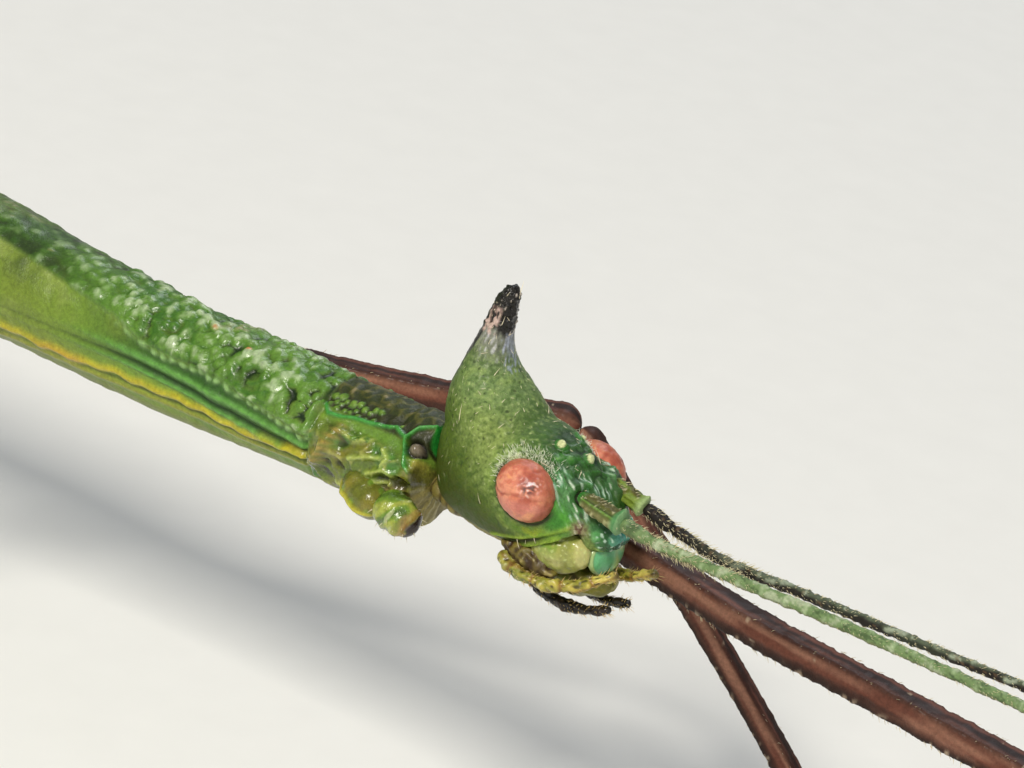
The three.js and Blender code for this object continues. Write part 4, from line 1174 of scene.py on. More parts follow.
def palp_skin(share, angle, points):
    """A palp of five joints, pinched between them; the loop says which pair it is of."""
    joints = sum(hump(share, joint, 0.014) for joint in PALP_JOINTS)
    knobs = sum(hump(share, joint - 0.035, 0.03) for joint in PALP_JOINTS)
    fine, mid = ripple(points, 0.1, 46), ripple(points, 0.25, 47)
    thick = (0.15 if dark_palp else 0.165) - 0.045 * step(share, 0.45, 1.0)
    reach = thick * (1 - 0.2 * joints + 0.08 * knobs) + 0.022 * mid + 0.016 * fine
    if dark_palp:
        tint = painted(
            "#120E0A",
            ("#2E2218", step(mid, 0.3, 1.2) * 0.7),
            ("#A88A5E", step(fine, 1.3, 1.8) * step(share, 0.3, 0.6) * 0.7),
        )
    else:
        creases = np.clip(joints + hump(np.sin(angle * 2 + 5 * share), 1, 0.25) * 0.7, 0, 1)
        tint = painted(
            "#8E8A34",
            ("#747E34", step(share, 0.6, 0.2) * 0.8),
            ("#C0AE50", step(mid, 0.0, 1.0) * (0.3 + 0.6 * share)),
            ("#C8B85E", step(share, 0.78, 0.86) * 0.7),
            ("#BEBC88", step(fine, 0.8, 1.3) * step(share, 0.7, 0.4) * 0.8),
            ("#6E3E1A", creases * 0.75),
            ("#241C0C", step(fine + 0.4 * mid, -0.3, -1.1) * 0.8),
            ("#3A2A1A", step(share, 0.93, 0.99) * 0.7),
        )
    return reach, tint, 0.45


for name, path in palp_paths.items():
    dark_palp = name.startswith("labial")
    slot = "palp_dark" if dark_palp else "palp_yellow"
    palp = limb(route(path), palp_skin, rings=120, sides=36)
    finish(palp, f"{name}_skin", mouth_cuticle, slot, name)

# ---------------------------------------------------------------------------------------------
# The antennae: a boat-shaped scape with a flared collar, then a thin feeler of many short joints.
# The right one is green with paler knots, and the left one is dark and bristly.
ANTENNA_JOINT = 0.62            # length of one joint of the feeler
antenna_paths = {
    "right": [
        (0.94, -0.72, 0.04), (2.35, -0.82, -0.1), (3.1, -0.86, -0.17), (5, -0.9, -0.14),
        (9, -0.92, 0.02), (14, -1.0, 0.15), (24, -1.9, 0.6), (38, -4.6, 0.9), (53, -9.0, 0.1),
    ],
    "left": [
        (0.8, 0.7, 0.04), (1.96, 0.85, -0.35), (2.9, 0.9, -0.6), (4, 0.92, -0.78),
        (7, 0.92, -0.68), (13, 1.0, -0.46), (24, 2.2, -0.2), (38, 5.6, -0.5), (52.4, 11.0, -1.6),
    ],
}
SCAPE_SHARE = {"right": 0.0285, "left": 0.0232}     # the scape's share of the whole antenna


def scape_skin(share, angle, points):
    """The scape: hollow above, ridged along its sides, with a flared collar at its far end."""
    fine, mid = ripple(points, 0.09, 51), ripple(points, 0.3, 52)
    upward = np.cos(angle)
    collar = step(share, 0.74, 0.97)
    reach = 0.21 + 0.07 * share + 0.03 * np.sin(math.pi * share) + 0.04 * collar
    reach = reach + 0.08 * step(share, 0.86, 0.97) * np.abs(upward) ** 6
    reach = reach * (1 if side == "right" else 0.88) * (0.66 + 0.34 * step(share, 0.02, 0.34))
    hollow = np.clip(upward, 0, 1) ** 2 * step(share, 0.1, 0.3) * step(share, 0.9, 0.8)
    reach = reach * (1 - 0.25 * hollow)
    reach = reach + 0.05 * hump(np.abs(upward), 0.35, 0.18) * step(share, 0.95, 0.8) + 0.016 * fine
    if side == "right":
        tint = painted(
            "#54602A",
            ("#7E7650", step(upward, 0.35, -0.2) * (0.5 + 0.5 * step(fine, -0.5, 0.8))),
            ("#9AA070", step(upward, 0.3, 0.0) * step(fine + 0.5 * mid, 0.3, 1.0) * 0.7),
            ("#4E4A1C", step(upward, 0.5, 0.95) * step(share, 0.95, 0.8) * 0.9),
            ("#161608", hump(upward, 0.52, 0.05) * 0.8),
            ("#6E9A40", hump(upward, 0.4, 0.08) * 0.6),
            ("#4C8450", step(collar, 0.1, 0.9) * 0.9),
            ("#7EA070", step(collar, 0.9, 1.0) * 0.7),
        )
    else:
        tint = painted(
            "#6A7E28",
            ("#453418", step(mid, 0.1, 0.9) * 0.8),
            ("#22220E", step(upward, -0.2, -0.8) * 0.7),
            ("#94AA72", np.clip(collar * 1.1, 0, 1) * 0.9),
        )
    tint = painted(
        tint,
        ("#2E7A30", step(share, 0.24, 0.04) * 0.85),
        ("#B9B48C", step(fine, 1.0, 1.6) * 0.7),
    )
    return reach, tint, 0.35


def feeler_skin(share, angle, points):
    """The feeler: a short pedicel, then joints that end in slight knots, thinning to the tip."""
    run = share * feeler_way.length
    turn = np.mod(run - 0.75 + 0.08 * np.sin(run * 2.1), ANTENNA_JOINT) / ANTENNA_JOINT
    fine, mid, broad = ripple(points, 0.1, 53), ripple(points, 0.32, 54), ripple(points, 1.3, 55)
    finest = ripple(points, 0.06, 59)
    pedicel = hump(run, 0.45, 0.4)
    knots = hump(turn, 0.86, 0.1) * step(run, 0.7, 1.1)
    reach = (0.155 if side == "right" else 0.14) - 0.08 * share**0.8
    reach = reach + 0.045 * pedicel + 0.022 * knots * (1 - 0.7 * share)
    reach = reach + (0.014 * fine + 0.01 * mid) * (1 - 0.6 * share)
    reach = reach - 0.05 * hump(run, 0.98, 0.06)
    if side == "right":
        tint = painted(
            "#6A8252",
            ("#9CAE86", np.clip(knots, 0, 1) * step(mid, -1.0, 0.6) * 0.75),
            ("#AEB69A", step(mid + 0.5 * finest, 0.5, 1.3) * 0.6),
            ("#34482A", step(mid + 0.6 * finest, -0.4, -1.3) * 0.7),
            ("#6A6444", step(np.cos(angle), -0.2, -0.8) * 0.7),
            ("#42503E", step(share, 0.1, 0.6) * 0.5),
        )
    else:
        above = step(np.cos(angle) + 0.3 * mid, 0.2, 0.8)
        tint = painted(
            "#17120E",
            ("#2C3426", step(broad, -0.2, 0.8) * step(run, 1.5, 4.0) * 0.7),
            ("#56604A", above * step(run, 1.0, 4.0) * 0.8),
            ("#96A08A", above * step(mid + 0.5 * fine + 0.6 * knots, 0.3, 1.0) * step(run, 1.5, 5.0)
             * 0.8),
            ("#5E4830", step(fine, 0.8, 1.5) * 0.6),
        )
    return reach, tint, 0.25


# Dry beaded chitin: the eye sees a matt, speckled rod with a faint light along its upper side.
antenna_cuticle = cuticle(
    "beaded_antenna_cuticle", grain=0.08, relief=0.009, roughness=0.4, variety=0.2, coat=0.2,
    shine=0.25,
)
antenna_ways = {}
for side, path in antenna_paths.items():
    whole = route(path)
    first = np.linspace(0, SCAPE_SHARE[side], 9)
    rest = np.concatenate([np.linspace(SCAPE_SHARE[side] * 0.94, 0.12, 14), np.linspace(0.16, 1, 22)])
    scape_way, feeler_way = route(whole(first)[0]), route(whole(rest)[0])
    antenna_ways[side] = scape_way, feeler_way
    slot = "antenna_green" if side == "right" else "antenna_dark"
    finish(
        limb(scape_way, scape_skin, rings=90, sides=44, blunt=3),
        f"{side}_scape_skin", antenna_cuticle, slot, f"{side}_scape",
    )
    finish(
        limb(feeler_way, feeler_skin, rings=1500, sides=18),
        f"{side}_feeler", antenna_cuticle, slot,
        *(f"{side}_flagellum_{number}" for number in (1, 2, 3)),
    )

# ---------------------------------------------------------------------------------------------
# The abdomen: nine telescoped rings of softer green cuticle in one skin, each with a raised hind
# rim, a pale membrane in the joint behind it, a keel down the middle and a fold along each side.
ABDOMEN_LENGTHS = (7.4, 7.8, 7.9, 7.6, 6.9, 5.0, 2.7, 2.0, 1.9)
segment_ends = THORAX_BACK - np.cumsum((0,) + ABDOMEN_LENGTHS)
BODY_END = segment_ends[-1]


def abdomen(t, angle):
    """The abdomen's skin, from inside the back of the thorax to the tail."""
    x = THORAX_BACK + 0.12 + (BODY_END - THORAX_BACK - 0.12) * t
    side = from_top(angle)
    base = on_trunk(x, angle)
    fine, mid, broad = ripple(base, 0.3, 61), ripple(base, 1.2, 62), ripple(base, 4.0, 63)
    joint = sum(hump(x, end, 0.11) for end in segment_ends[1:-1])
    rim = sum(hump(x, end + 0.45, 0.3) for end in segment_ends[1:-1])
    lap = sum(hump(x, end - 0.35, 0.3) for end in segment_ends[1:-1])
    keel = hump(side, 0, 5)
    fold = hump(side, 92, 6) + 0.6 * hump(side, 112, 6)
    wrinkles = np.cos(x * 2 * math.pi / 0.62 + 1.2 * fine) * 0.5 + 0.5
    close = -0.72 * (1 - np.sqrt(step(x, BODY_END, BODY_END + 0.9)))
    raised = (
        0.05 * rim - 0.13 * joint - 0.03 * lap + 0.06 * keel + 0.08 * fold + 0.014 * wrinkles
        + 0.02 * fine + 0.025 * mid + close
    )
    tint = painted(
        "#56802F",
        ("#3F6A28", step(broad, 0.0, 1.3) * 0.6),
        ("#7A9440", step(mid, 0.3, 1.3) * 0.5),
        ("#7D8436", step(x, -62, -84) * 0.6),
        ("#6E7A30", step(side, 118, 150) * 0.8),
        ("#B4A94A", hump(side, 92, 4) * 0.7),
        ("#86AE54", keel * 0.6),
        ("#8DB07A", step(fine, 0.9, 1.6) * step(side, 70, 30) * 0.5),
        ("#3A5220", np.clip(rim, 0, 1) * 0.5),
        ("#9A8A58", np.clip(joint * 1.2, 0, 1) * 0.85),
    )
    return on_trunk(x, angle, raised), tint, 0.4


# Softer, finely wrinkled chitin: the eye sees a satin green with broad, low lights on each ring.
abdomen_cuticle = cuticle(
    "soft_wrinkled_cuticle", grain=0.2, relief=0.014, roughness=0.34, variety=0.2, coat=0.25,
    glow=0.06,
)
finish(
    sleeve(abdomen, rings=640, sides=120), "abdomen_skin", abdomen_cuticle, "abdomen_green",
    *(f"abdomen_{number}" for number in range(2, 11)),
)


def keeled_plate(share, angle, points):
    """The operculum: the boat-shaped plate under the tail that guides the eggs."""
    fine = ripple(points, 0.3, 64)
    swell = np.sin(math.pi * (0.06 + 0.88 * share)) ** 0.6
    keel = hump(np.degrees(np.abs(angle - math.pi)), 0, 12)
    half_height = np.where(np.cos(angle) > 0, 0.5, 0.6)
    reach = swell / np.hypot(np.sin(angle) / 0.85, np.cos(angle) / half_height)
    tint = painted("#5D6E2C", ("#8A8A44", keel))
    return reach + 0.06 * keel * swell + 0.015 * fine, tint, 0.4


plate_front = segment_ends[6] + 0.4
plate_way = route([
    (BODY_END + 0.3, 0, float(body_axis(BODY_END)) - 1.05),
    ((plate_front + BODY_END) / 2, 0, float(body_axis(-82.0)) - 1.2),
    (plate_front, 0, float(body_axis(plate_front)) - 0.9),
])
finish(
    limb(plate_way, keeled_plate, rings=90, sides=48),
    "egg_plate", abdomen_cuticle, "abdomen_green", "operculum",
)


def tail_feeler(share, angle, points):
    """A cercus: a short blunt feeler at the tail, thinner towards its free end."""
    tint = painted("#6D7A35", ("#3F4A20", step(ripple(points, 0.15, 65), 0, 1)))
    return 0.27 * (0.55 + 0.45 * share) + 0.01 * ripple(points, 0.1, 66), tint, 0.35


tail_height = float(body_axis(BODY_END))
for side, sign in SIDES.items():
    cercus_way = route([
        (BODY_END - 1.3, 0.6 * sign, tail_height + 0.05),
        (BODY_END + 0.2, 0.42 * sign, tail_height + 0.25),
    ])
    finish(
        limb(cercus_way, tail_feeler, rings=40, sides=24),
        f"tail_feeler_{side}", abdomen_cuticle, "abdomen_green", f"cercus_{side}",
    )

# ---------------------------------------------------------------------------------------------
# The five whole legs: a short coxa under the thorax, a long femur and tibia with four keels each,
# and a foot of five joints with two claws. The left fore and mid legs are red-brown, the rest green.
EYE_HEIGHT = 15
COXA_RADIUS, TIBIA_RADIUS, TARSUS_RADIUS, TARSUS_LENGTH = 0.78, 0.33, 0.27, 4.6
FOOT_JOINTS = (0.36, 0.52, 0.65, 0.76)      # shares of the foot's length
CORNERS = (42, 138)             # the keels' places round a limb, in degrees from its top
LEGS = {
    "left_fore": dict(
        hip=(-5.0, 0.75, -2.35), turn=(-5.05, 1.5, -2.8),
        bend=[(-3.8, 1.85, -2.45), (-1.6, 2.06, -2.05), (1.6, 2.03, -2.32), (4.5, 2.0, -2.7),
              (8.7, 2.0, -2.93)],
        knee=(20.4, 2.3, -3.85), ankle=(31.6, 3.9, -14.45),
        toe=(0.97, 0.24), radius=0.5, skin="brown", rings=900,
    ),
    "left_mid": dict(
        hip=(-21.6, 1.0, -2.3), turn=(-21.3, 1.9, -3.1),
        bend=[(-20, 2.3, -3.15), (-12, 4.4, -2.85)],
        knee=(-4.2, 7.0, -2.3), ankle=(6.7, 9.7, -14.45),
        toe=(0.93, 0.37), radius=0.47, skin="brown", rings=320,
    ),
    "right_mid": dict(
        hip=(-21.6, -1.0, -2.3), turn=(-21.9, -2.0, -3.0),
        bend=[(-22.8, -3.2, -2.7), (-27.2, -9.4, -0.7)],
        knee=(-31.2, -15.4, 1.3), ankle=(-33.4, -21.0, -14.45),
        toe=(-0.2, -0.98), radius=0.47, skin="green", rings=320,
    ),
    "left_hind": dict(
        hip=(-33.4, 1.0, -2.3), turn=(-33.9, 1.95, -3.0),
        bend=[(-35.2, 2.9, -2.7), (-43.5, 7.4, -0.9)],
        knee=(-53.6, 12.8, 1.2), ankle=(-66.5, 18.6, -14.45),
        toe=(-0.94, 0.34), radius=0.48, skin="green", rings=320,
    ),
    "right_hind": dict(
        hip=(-33.4, -1.0, -2.3), turn=(-33.8, -1.95, -3.0),
        bend=[(-34.9, -3.0, -2.7), (-41.8, -8.6, -0.9)],
        knee=(-49.6, -15.0, 1.2), ankle=(-60.4, -23.0, -14.45),
        toe=(-0.85, -0.53), radius=0.48, skin="green", rings=320,
    ),
}
LEG_TONES = {
    # face, pale face, keel and dark mottle
    "brown": ("#6A3E30", "#946A56", "#24140E", "#3A211A"),
    "green": ("#566C30", "#84944E", "#2F3E18", "#4A4424"),
}


def squared(angle):
    """The reach of a limb with a rounded square section."""
    return 1 / (np.abs(np.cos(angle)) ** 3.2 + np.abs(np.sin(angle)) ** 3.2) ** (1 / 3.2)


def keels_at(angle):
    """The height of the corner keels and of the faint one between them, 0 to 1."""
    side = from_top(angle)
    return sum(hump(side, corner, 11) for corner in CORNERS), hump(side, 90, 9)


def leg_tint(share, angle, points, tones, length):
    """Streaked cuticle: a pale band along each side between dark keels, blotched lengthwise."""
    face, pale, dark, mottle = tones
    side = from_top(angle)
    run = share * length
    streaks = ripple(np.stack([run * 0.3, np.sin(angle), np.cos(angle)], axis=1), 0.4, 71)
    blotch = ripple(np.stack([run, np.sin(angle), np.cos(angle)], axis=1), 2.2, 72)
    fine = ripple(points, 0.11, 73)
    band = np.clip(hump(side, 70, 30) * (1.1 + 0.25 * streaks), 0, 1)
    upper_band = hump(side, 24, 10) * step(streaks, -0.8, 0.6)
    return painted(
        dark,
        (mottle, step(streaks, 0.1, 1.2) * 0.8),
        (face, np.clip(band * 1.6, 0, 1) * 0.9),
        (pale, band * step(streaks, -0.8, 0.9) * 0.85),
        (mottle, band * step(blotch, 0.5, 1.5) * 0.5),
        (face, upper_band * 0.8),
        (dark, keels_at(angle)[0] * 0.6),
        ("#A8947E", hump(side, CORNERS[1], 14) * step(fine, 0.6, 1.3) * 0.8),
        ("#B09C84", step(fine, 1.7, 2.0) * 0.6),
    )


def coxa_skin(share, angle, points):
    """A coxa: a short, thick, lumpy joint, darker at its far end."""
    fine, mid = ripple(points, 0.15, 74), ripple(points, 0.45, 75)
    tint = painted(
        "#7C8234",
        ("#A79A3E", step(mid, 0.1, 1.2) * 0.8),
        ("#3F5220", step(mid, -0.3, -1.3) * 0.7),
        ("#4A3A1C", step(share, 0.9, 1.0) * 0.6),
    )
    reach = COXA_RADIUS * (1.05 - 0.2 * share) - 0.04 + 0.03 * mid + 0.012 * fine
    return reach, tint, 0.7


def femur_skin(share, angle, points):
    """A femur: square in section, toothed along its keels, pinched at the trochanter's ring."""
    corner, middle = keels_at(angle)
    run = share * leg_way.length
    reach = leg["radius"] * (1 - 0.12 * np.sin(math.pi * share) + 0.12 * hump(share, 0.97, 0.03))
    reach = reach * 0.9 * squared(angle) + 0.045 * corner + 0.025 * middle
    teeth = corner * step(np.cos(run * 2 * math.pi / 0.3), 0.6, 1.0)
    reach = reach + 0.014 * teeth
    reach = reach + 0.012 * ripple(points, 0.14, 76) + 0.01 * ripple(points, 0.5, 77)
    reach = reach * (1 - 0.3 * hump(run, 0.95, 0.12)) * (1 - 0.22 * step(run, 1.2, 0.2))
    tint = leg_tint(share, angle, points, LEG_TONES[leg["skin"]], leg_way.length)
    tint = painted(
        tint,
        ("#8E8440", step(run, 3.2, 1.0) * 0.8),
        ("#3A2A16", hump(run, 0.95, 0.1) * 0.8),
    )
    return reach, tint, 0.35


def tibia_skin(share, angle, points):
    """A tibia: thinner than the femur, and flared at the ankle."""
    corner, _ = keels_at(angle)
    run = share * leg_way.length
    reach = TIBIA_RADIUS * (0.94 + 0.14 * hump(share, 0, 0.05) + 0.15 * share**8)
    reach = reach * squared(angle) + 0.03 * corner
    teeth = corner * step(np.cos(run * 2 * math.pi / 0.55), 0.8, 1.0)
    tint = leg_tint(share, angle, points, LEG_TONES[leg["skin"]], leg_way.length)
    tint = painted(tint, ("#4A3A26", step(share, 0.95, 1) * 0.6))
    return reach + 0.016 * teeth + 0.01 * ripple(points, 0.14, 78), tint, 0.3


def foot_skin(share, angle, points):
    """A foot of five joints, each of which swells a little before the next."""
    joints = sum(hump(share, joint, 0.011) for joint in FOOT_JOINTS)
    pads = sum(hump(share, joint - 0.035, 0.035) for joint in FOOT_JOINTS)
    reach = TARSUS_RADIUS * (
        0.86 + 0.16 * pads - 0.34 * joints
        + 0.2 * hump(share, 0.96, 0.04) - 0.12 * hump(share, 0.86, 0.05)
    )
    tint = painted(
        "#6A5A3C",
        ("#8E7E52", pads * 0.7),
        ("#2E2416", joints * 0.9),
        ("#B9A67A", step(np.cos(angle), -0.5, -0.9) * 0.5),
    )
    return reach + 0.008 * ripple(points, 0.1, 79), tint, 0.25


def claw_skin(share, angle, points):
    """A claw, thinning to a dark point."""
    tint = painted("#5A4426", ("#1E150C", step(share, 0.3, 0.9)))
    return 0.075 * (1 - 0.82 * share), tint, 0.9


def with_flat_sole(bm):
    """Brings everything that would pass through the floor up to it."""
    for vert in bm.verts:
        vert.co.z = max(vert.co.z, -EYE_HEIGHT)
    return bm


# Dry, hard, keeled chitin: the eye sees a matt leg with thin lights along its keels.
leg_cuticle = cuticle(
    "dry_keeled_cuticle", grain=0.1, relief=0.008, roughness=0.4, variety=0.24, coat=0.12, shine=0.2
)
leg_ways = {}
for name, leg in LEGS.items():
    slot = f"leg_{leg['skin']}"
    hip, turn, knee, ankle = (np.array(leg[key]) for key in ("hip", "turn", "knee", "ankle"))
    finish(
        limb(route([hip, turn]), coxa_skin, rings=40, sides=56),
        f"{name}_coxa_skin", wet_cuticle, "coxa_olive", f"{name}_coxa",
    )
    first_way = np.array(leg["bend"][0]) - turn
    hinge = turn + 0.1 * first_way / np.linalg.norm(first_way)
    leg_way = leg_ways[f"{name}_femur"] = route([hinge, *leg["bend"], knee])
    finish(
        limb(leg_way, femur_skin, rings=leg["rings"], sides=48),
        f"{name}_femur_skin", leg_cuticle, slot, f"{name}_femur",
    )
    shin = (knee + ankle) / 2 + (0, 0, 0.35)
    ankle_end = ankle + 0.4 * (ankle - shin) / np.linalg.norm(ankle - shin)
    leg_way = leg_ways[f"{name}_tibia"] = route([knee + 0.004 * (ankle - knee), shin, ankle_end])
    finish(
        limb(leg_way, tibia_skin, rings=260, sides=32),
        f"{name}_tibia_skin", leg_cuticle, slot, f"{name}_tibia",
    )
    ahead = np.array((*leg["toe"], 0)) / np.hypot(*leg["toe"])
    across = np.cross(ahead, UP)
    heel = ankle - 0.1 * ahead
    heel[2] = TARSUS_RADIUS * 0.7 - EYE_HEIGHT
    foot_way = route([heel, heel + 0.5 * TARSUS_LENGTH * ahead, heel + TARSUS_LENGTH * ahead])
    foot = with_flat_sole(limb(foot_way, foot_skin, rings=150, sides=28))
    toe_end = heel + (TARSUS_LENGTH - 0.16) * ahead
    feet = bpy.data.meshes.new("claws")
    for spread in (-1, 1):
        points = [
            toe_end + spread * 0.08 * across,
            toe_end + 0.32 * ahead + spread * 0.2 * across + (0, 0, 0.12),
            toe_end + 0.56 * ahead + spread * 0.34 * across - (0, 0, 0.08),
        ]
        claw = with_flat_sole(limb(route(points), claw_skin, rings=24, sides=12))
        claw.to_mesh(feet)
        claw.free()
        foot.from_mesh(feet)
    bpy.data.meshes.remove(feet)
    finish(foot, f"{name}_foot", leg_cuticle, slot, f"{name}_tarsus")

# ---------------------------------------------------------------------------------------------
# The lost right foreleg: its coxa, and the trochanter healed over into a dark scab with a rusty
# rim. Both are glossy olive cuticle with yellow ridges.
LOST_COXA_PATH = [(-5.75, -1.0, -1.95), (-5.0, -1.33, -2.22), (-4.25, -1.58, -2.42)]
STUMP_PATH = [(-4.42, -1.52, -2.12), (-3.8, -1.6, -2.2), (-3.08, -1.62, -2.42)]


def lost_leg_coxa(share, angle, points):
    """The lost leg's coxa: crumpled and glossy, with one yellow ridge."""
    fine, mid = ripple(points, 0.12, 81), ripple(points, 0.4, 82)
    ridge = hump(from_top(angle - 1.9), 0, 10)
    crumple = 1 - np.abs(ripple(points, 0.5, 85))
    tint = painted(
        "#5E6420",
        ("#857A2C", step(mid, 0.0, 1.0) * 0.8),
        # painted shade in the creases
        ("#2A3610", step(crumple, 0.2, -0.4) * 0.8),
        ("#5E8A2A", step(fine, 0.5, 1.4) * 0.6),
        ("#BDB62E", ridge * 0.95),
    )
    reach = 0.47 * (1.0 - 0.05 * share - 0.3 * step(share, 0.35, 0.0))
    return reach + 0.1 * ridge + 0.05 * crumple + 0.015 * fine, tint, 0.9


def stump_skin(share, angle, points):
    """The stump: winding grooves, and a ragged dark scab with a rusty rim that closes it."""
    fine, mid = ripple(points, 0.1, 83), ripple(points, 0.3, 84)
    grooves = np.cos(angle * 3 + 9 * share + 1.5 * mid)
    ragged = share + 0.02 * mid + 0.012 * fine
    scab = step(ragged, 0.87, 0.9)
    rim = hump(ragged, 0.86, 0.03) * (0.6 + 0.4 * step(mid, -0.5, 0.8))
    reach = 0.53 * np.sqrt(1 - 0.72 * share**4) * (1 - 0.2 * hump(share, 0.04, 0.08))
    reach = reach + 0.025 * grooves * (1 - scab) + 0.035 * rim
    reach = reach + scab * (0.03 + 0.05 * mid) + 0.014 * fine
    tint = painted(
        "#628026",
        ("#A4A84A", step(grooves, 0.2, 0.9) * 0.7),
        # painted shade in the grooves
        ("#35501A", step(grooves, -0.3, -0.9) * 0.7),
        ("#B9BF8E", step(fine + 0.5 * mid, 1.0, 1.6) * 0.6),
        ("#A8804E", hump(ragged, 0.8, 0.05) * 0.6),
        ("#8E4E22", rim * 0.9),
        ("#1E0F09", scab),
        ("#7A6A5A", scab * step(fine, 1.1, 1.5) * 0.8),
    )
    return reach, tint, 0.95


finish(
    limb(route(LOST_COXA_PATH), lost_leg_coxa, rings=90, sides=72),
    "lost_leg_coxa", wet_cuticle, "coxa_olive", "right_fore_coxa",
)
finish(
    limb(route(STUMP_PATH), stump_skin, rings=110, sides=64),
    "lost_leg_stump", wet_cuticle, "coxa_olive", "right_fore_stump",
)


# ---------------------------------------------------------------------------------------------
# Hairs: short pale bristles lying along the horn and cheeks, a fringe over each eye, and stiff
# golden ones on the palps, feelers, legs and stump. Each is a thin bent spike of solid mesh.
HAIR_RINGS, HAIR_SIDES = 4, 4
HAIR_ROOT = 0.012               # how deep a root stands in the skin
BRISTLE_RADIUS = 0.01
HAIR_GLOSS = 0.6
MAP_PATCH, MAP_EDGE, MAP_SPAN = 0.003, 0.005, 0.985     # a hair's patch and the OFBake map's used part
grown = []


def grow(roots, outward, ahead, length, reach, lean, spots):
    """A hair at each root, leaning from the skin's outward direction towards ahead. length is a
    (shortest, longest) pair; spots are the roots' places on an unwrap of the skin, 0 to 1."""
    way = (1 - lean) * outward + lean * ahead / np.linalg.norm(ahead, axis=1)[:, None]
    way = way + draw.normal(size=roots.shape) * 0.12
    way /= np.linalg.norm(way, axis=1)[:, None]
    sizes = np.stack([draw.uniform(*length, len(roots)), np.full(len(roots), reach)], axis=1)
    grown.append(np.concatenate([roots, way, outward, sizes, spots], axis=1))


def hair_piece(name, colour, slot):
    """Joins the hairs grown so far into one mesh. Each has its own shade and its own patch of the
    OFBake map, at its root's place on the unwrapped skin."""
    rows = np.concatenate(grown)
    grown.clear()
    root, way, out, (length, reach), spot = (
        rows[:, 0:3], rows[:, 3:6], rows[:, 6:9], rows[:, 9:11].T, rows[:, 11:13]
    )
    aside = np.cross(way, out + (0.01, 0.02, 0))
    aside /= np.linalg.norm(aside, axis=1)[:, None]
    above = np.cross(aside, way)
    rise = np.repeat(np.linspace(0, 1, HAIR_RINGS), HAIR_SIDES)
    turn = np.tile(np.arange(HAIR_SIDES) * 2 * math.pi / HAIR_SIDES, HAIR_RINGS)
    thick = (reach[:, None] * (1 - 0.85 * rise))[:, :, None]
    places = root[:, None] - HAIR_ROOT * out[:, None]
    bend = rise[:, None] * way[:, None] - 0.1 * rise[:, None] ** 2 * above[:, None]
    places = places + length[:, None, None] * bend
    round_hair = np.cos(turn)[:, None] * aside[:, None] + np.sin(turn)[:, None] * above[:, None]
    places = places + thick * round_hair
    walls = [
        [ring * HAIR_SIDES + k, ring * HAIR_SIDES + (k + 1) % HAIR_SIDES,
         (ring + 1) * HAIR_SIDES + (k + 1) % HAIR_SIDES, (ring + 1) * HAIR_SIDES + k]
        for ring in range(HAIR_RINGS - 1) for k in range(HAIR_SIDES)
    ]
    tip = [(HAIR_RINGS - 1) * HAIR_SIDES + k for k in range(HAIR_SIDES)]
    one_hair = np.array([*walls, tip, list(range(HAIR_SIDES))[::-1]])
    corners = len(rise)
    faces = (np.arange(len(rows))[:, None, None] * corners + one_hair).reshape(-1, 4)
    mesh = bpy.data.meshes.new(name)
    mesh.from_pydata((places.reshape(-1, 3) * MM + np.array(ORIGIN)).tolist(), [], faces.tolist())
    shade = np.repeat(draw.uniform(0.75, 1.2, len(rows)), corners)[:, None]
    shade = shade * np.array(linear(colour))[:3]
    gloss = np.full((len(shade), 1), HAIR_GLOSS)
    tint = mesh.attributes.new("tint", "FLOAT_COLOR", "POINT")
    tint.data.foreach_set("color", np.concatenate([shade, gloss], axis=1).ravel())
    corner = faces.ravel()
    patch = np.stack([rise[corner % corners], turn[corner % corners] / (2 * math.pi)], axis=1)
    bake = mesh.uv_layers.new(name="OFBake")
    place_on_map = MAP_EDGE + MAP_SPAN * spot[corner // corners] + MAP_PATCH * patch
    bake.data.foreach_set("uv", place_on_map.ravel())
    show(mesh, name, bristle_chitin, slot)


def skin_spots(name, count, chance):
    """Random places on a finished skin, with its normals and their places on its unwrap, which
    runs along it and round it. chance(x, y, z) says how likely a hair is there."""
    mesh = bpy.data.objects[name].data
    places, normals = np.zeros(len(mesh.vertices) * 3), np.zeros(len(mesh.vertices) * 3)
    mesh.vertices.foreach_get("co", places)
    mesh.vertices.foreach_get("normal", normals)
    places, normals = (places.reshape(-1, 3) - np.array(ORIGIN)) / MM, normals.reshape(-1, 3)
    weight = np.clip(chance(*places.T), 0, None)
    chosen = draw.choice(len(places), count, replace=False, p=weight / weight.sum())
    low, high = places.min(axis=0), places.max(axis=0)
    x, y, z = places[chosen].T
    along = (x - low[0]) / (high[0] - low[0])
    round_skin = np.arctan2(y, z - (low[2] + high[2]) / 2) / (2 * math.pi) + 0.5
    return places[chosen], normals[chosen], np.stack([along, round_skin], axis=1)


def bristles(way, reach, count, part, length, lean, column=(0, 1), corner=None):
    """Bristles on a limb over a part of its way, all round it or along one corner in degrees.
    column is the limb's strip of the unwrap."""
    share = draw.uniform(*part, count)
    angle = draw.uniform(0, 2 * math.pi, count)
    if corner is not None:
        angle = np.radians(corner) + 0.08 * np.sin(angle)
    place, ahead, right, up = way(share)
    outward = right * np.sin(angle)[:, None] + up * np.cos(angle)[:, None]
    strip = (column[0] + np.mod(angle / (2 * math.pi), 1)) / column[1]
    spots = np.stack([share, strip], axis=1)
    grow(place + outward * reach, outward, ahead, length, BRISTLE_RADIUS, lean, spots)


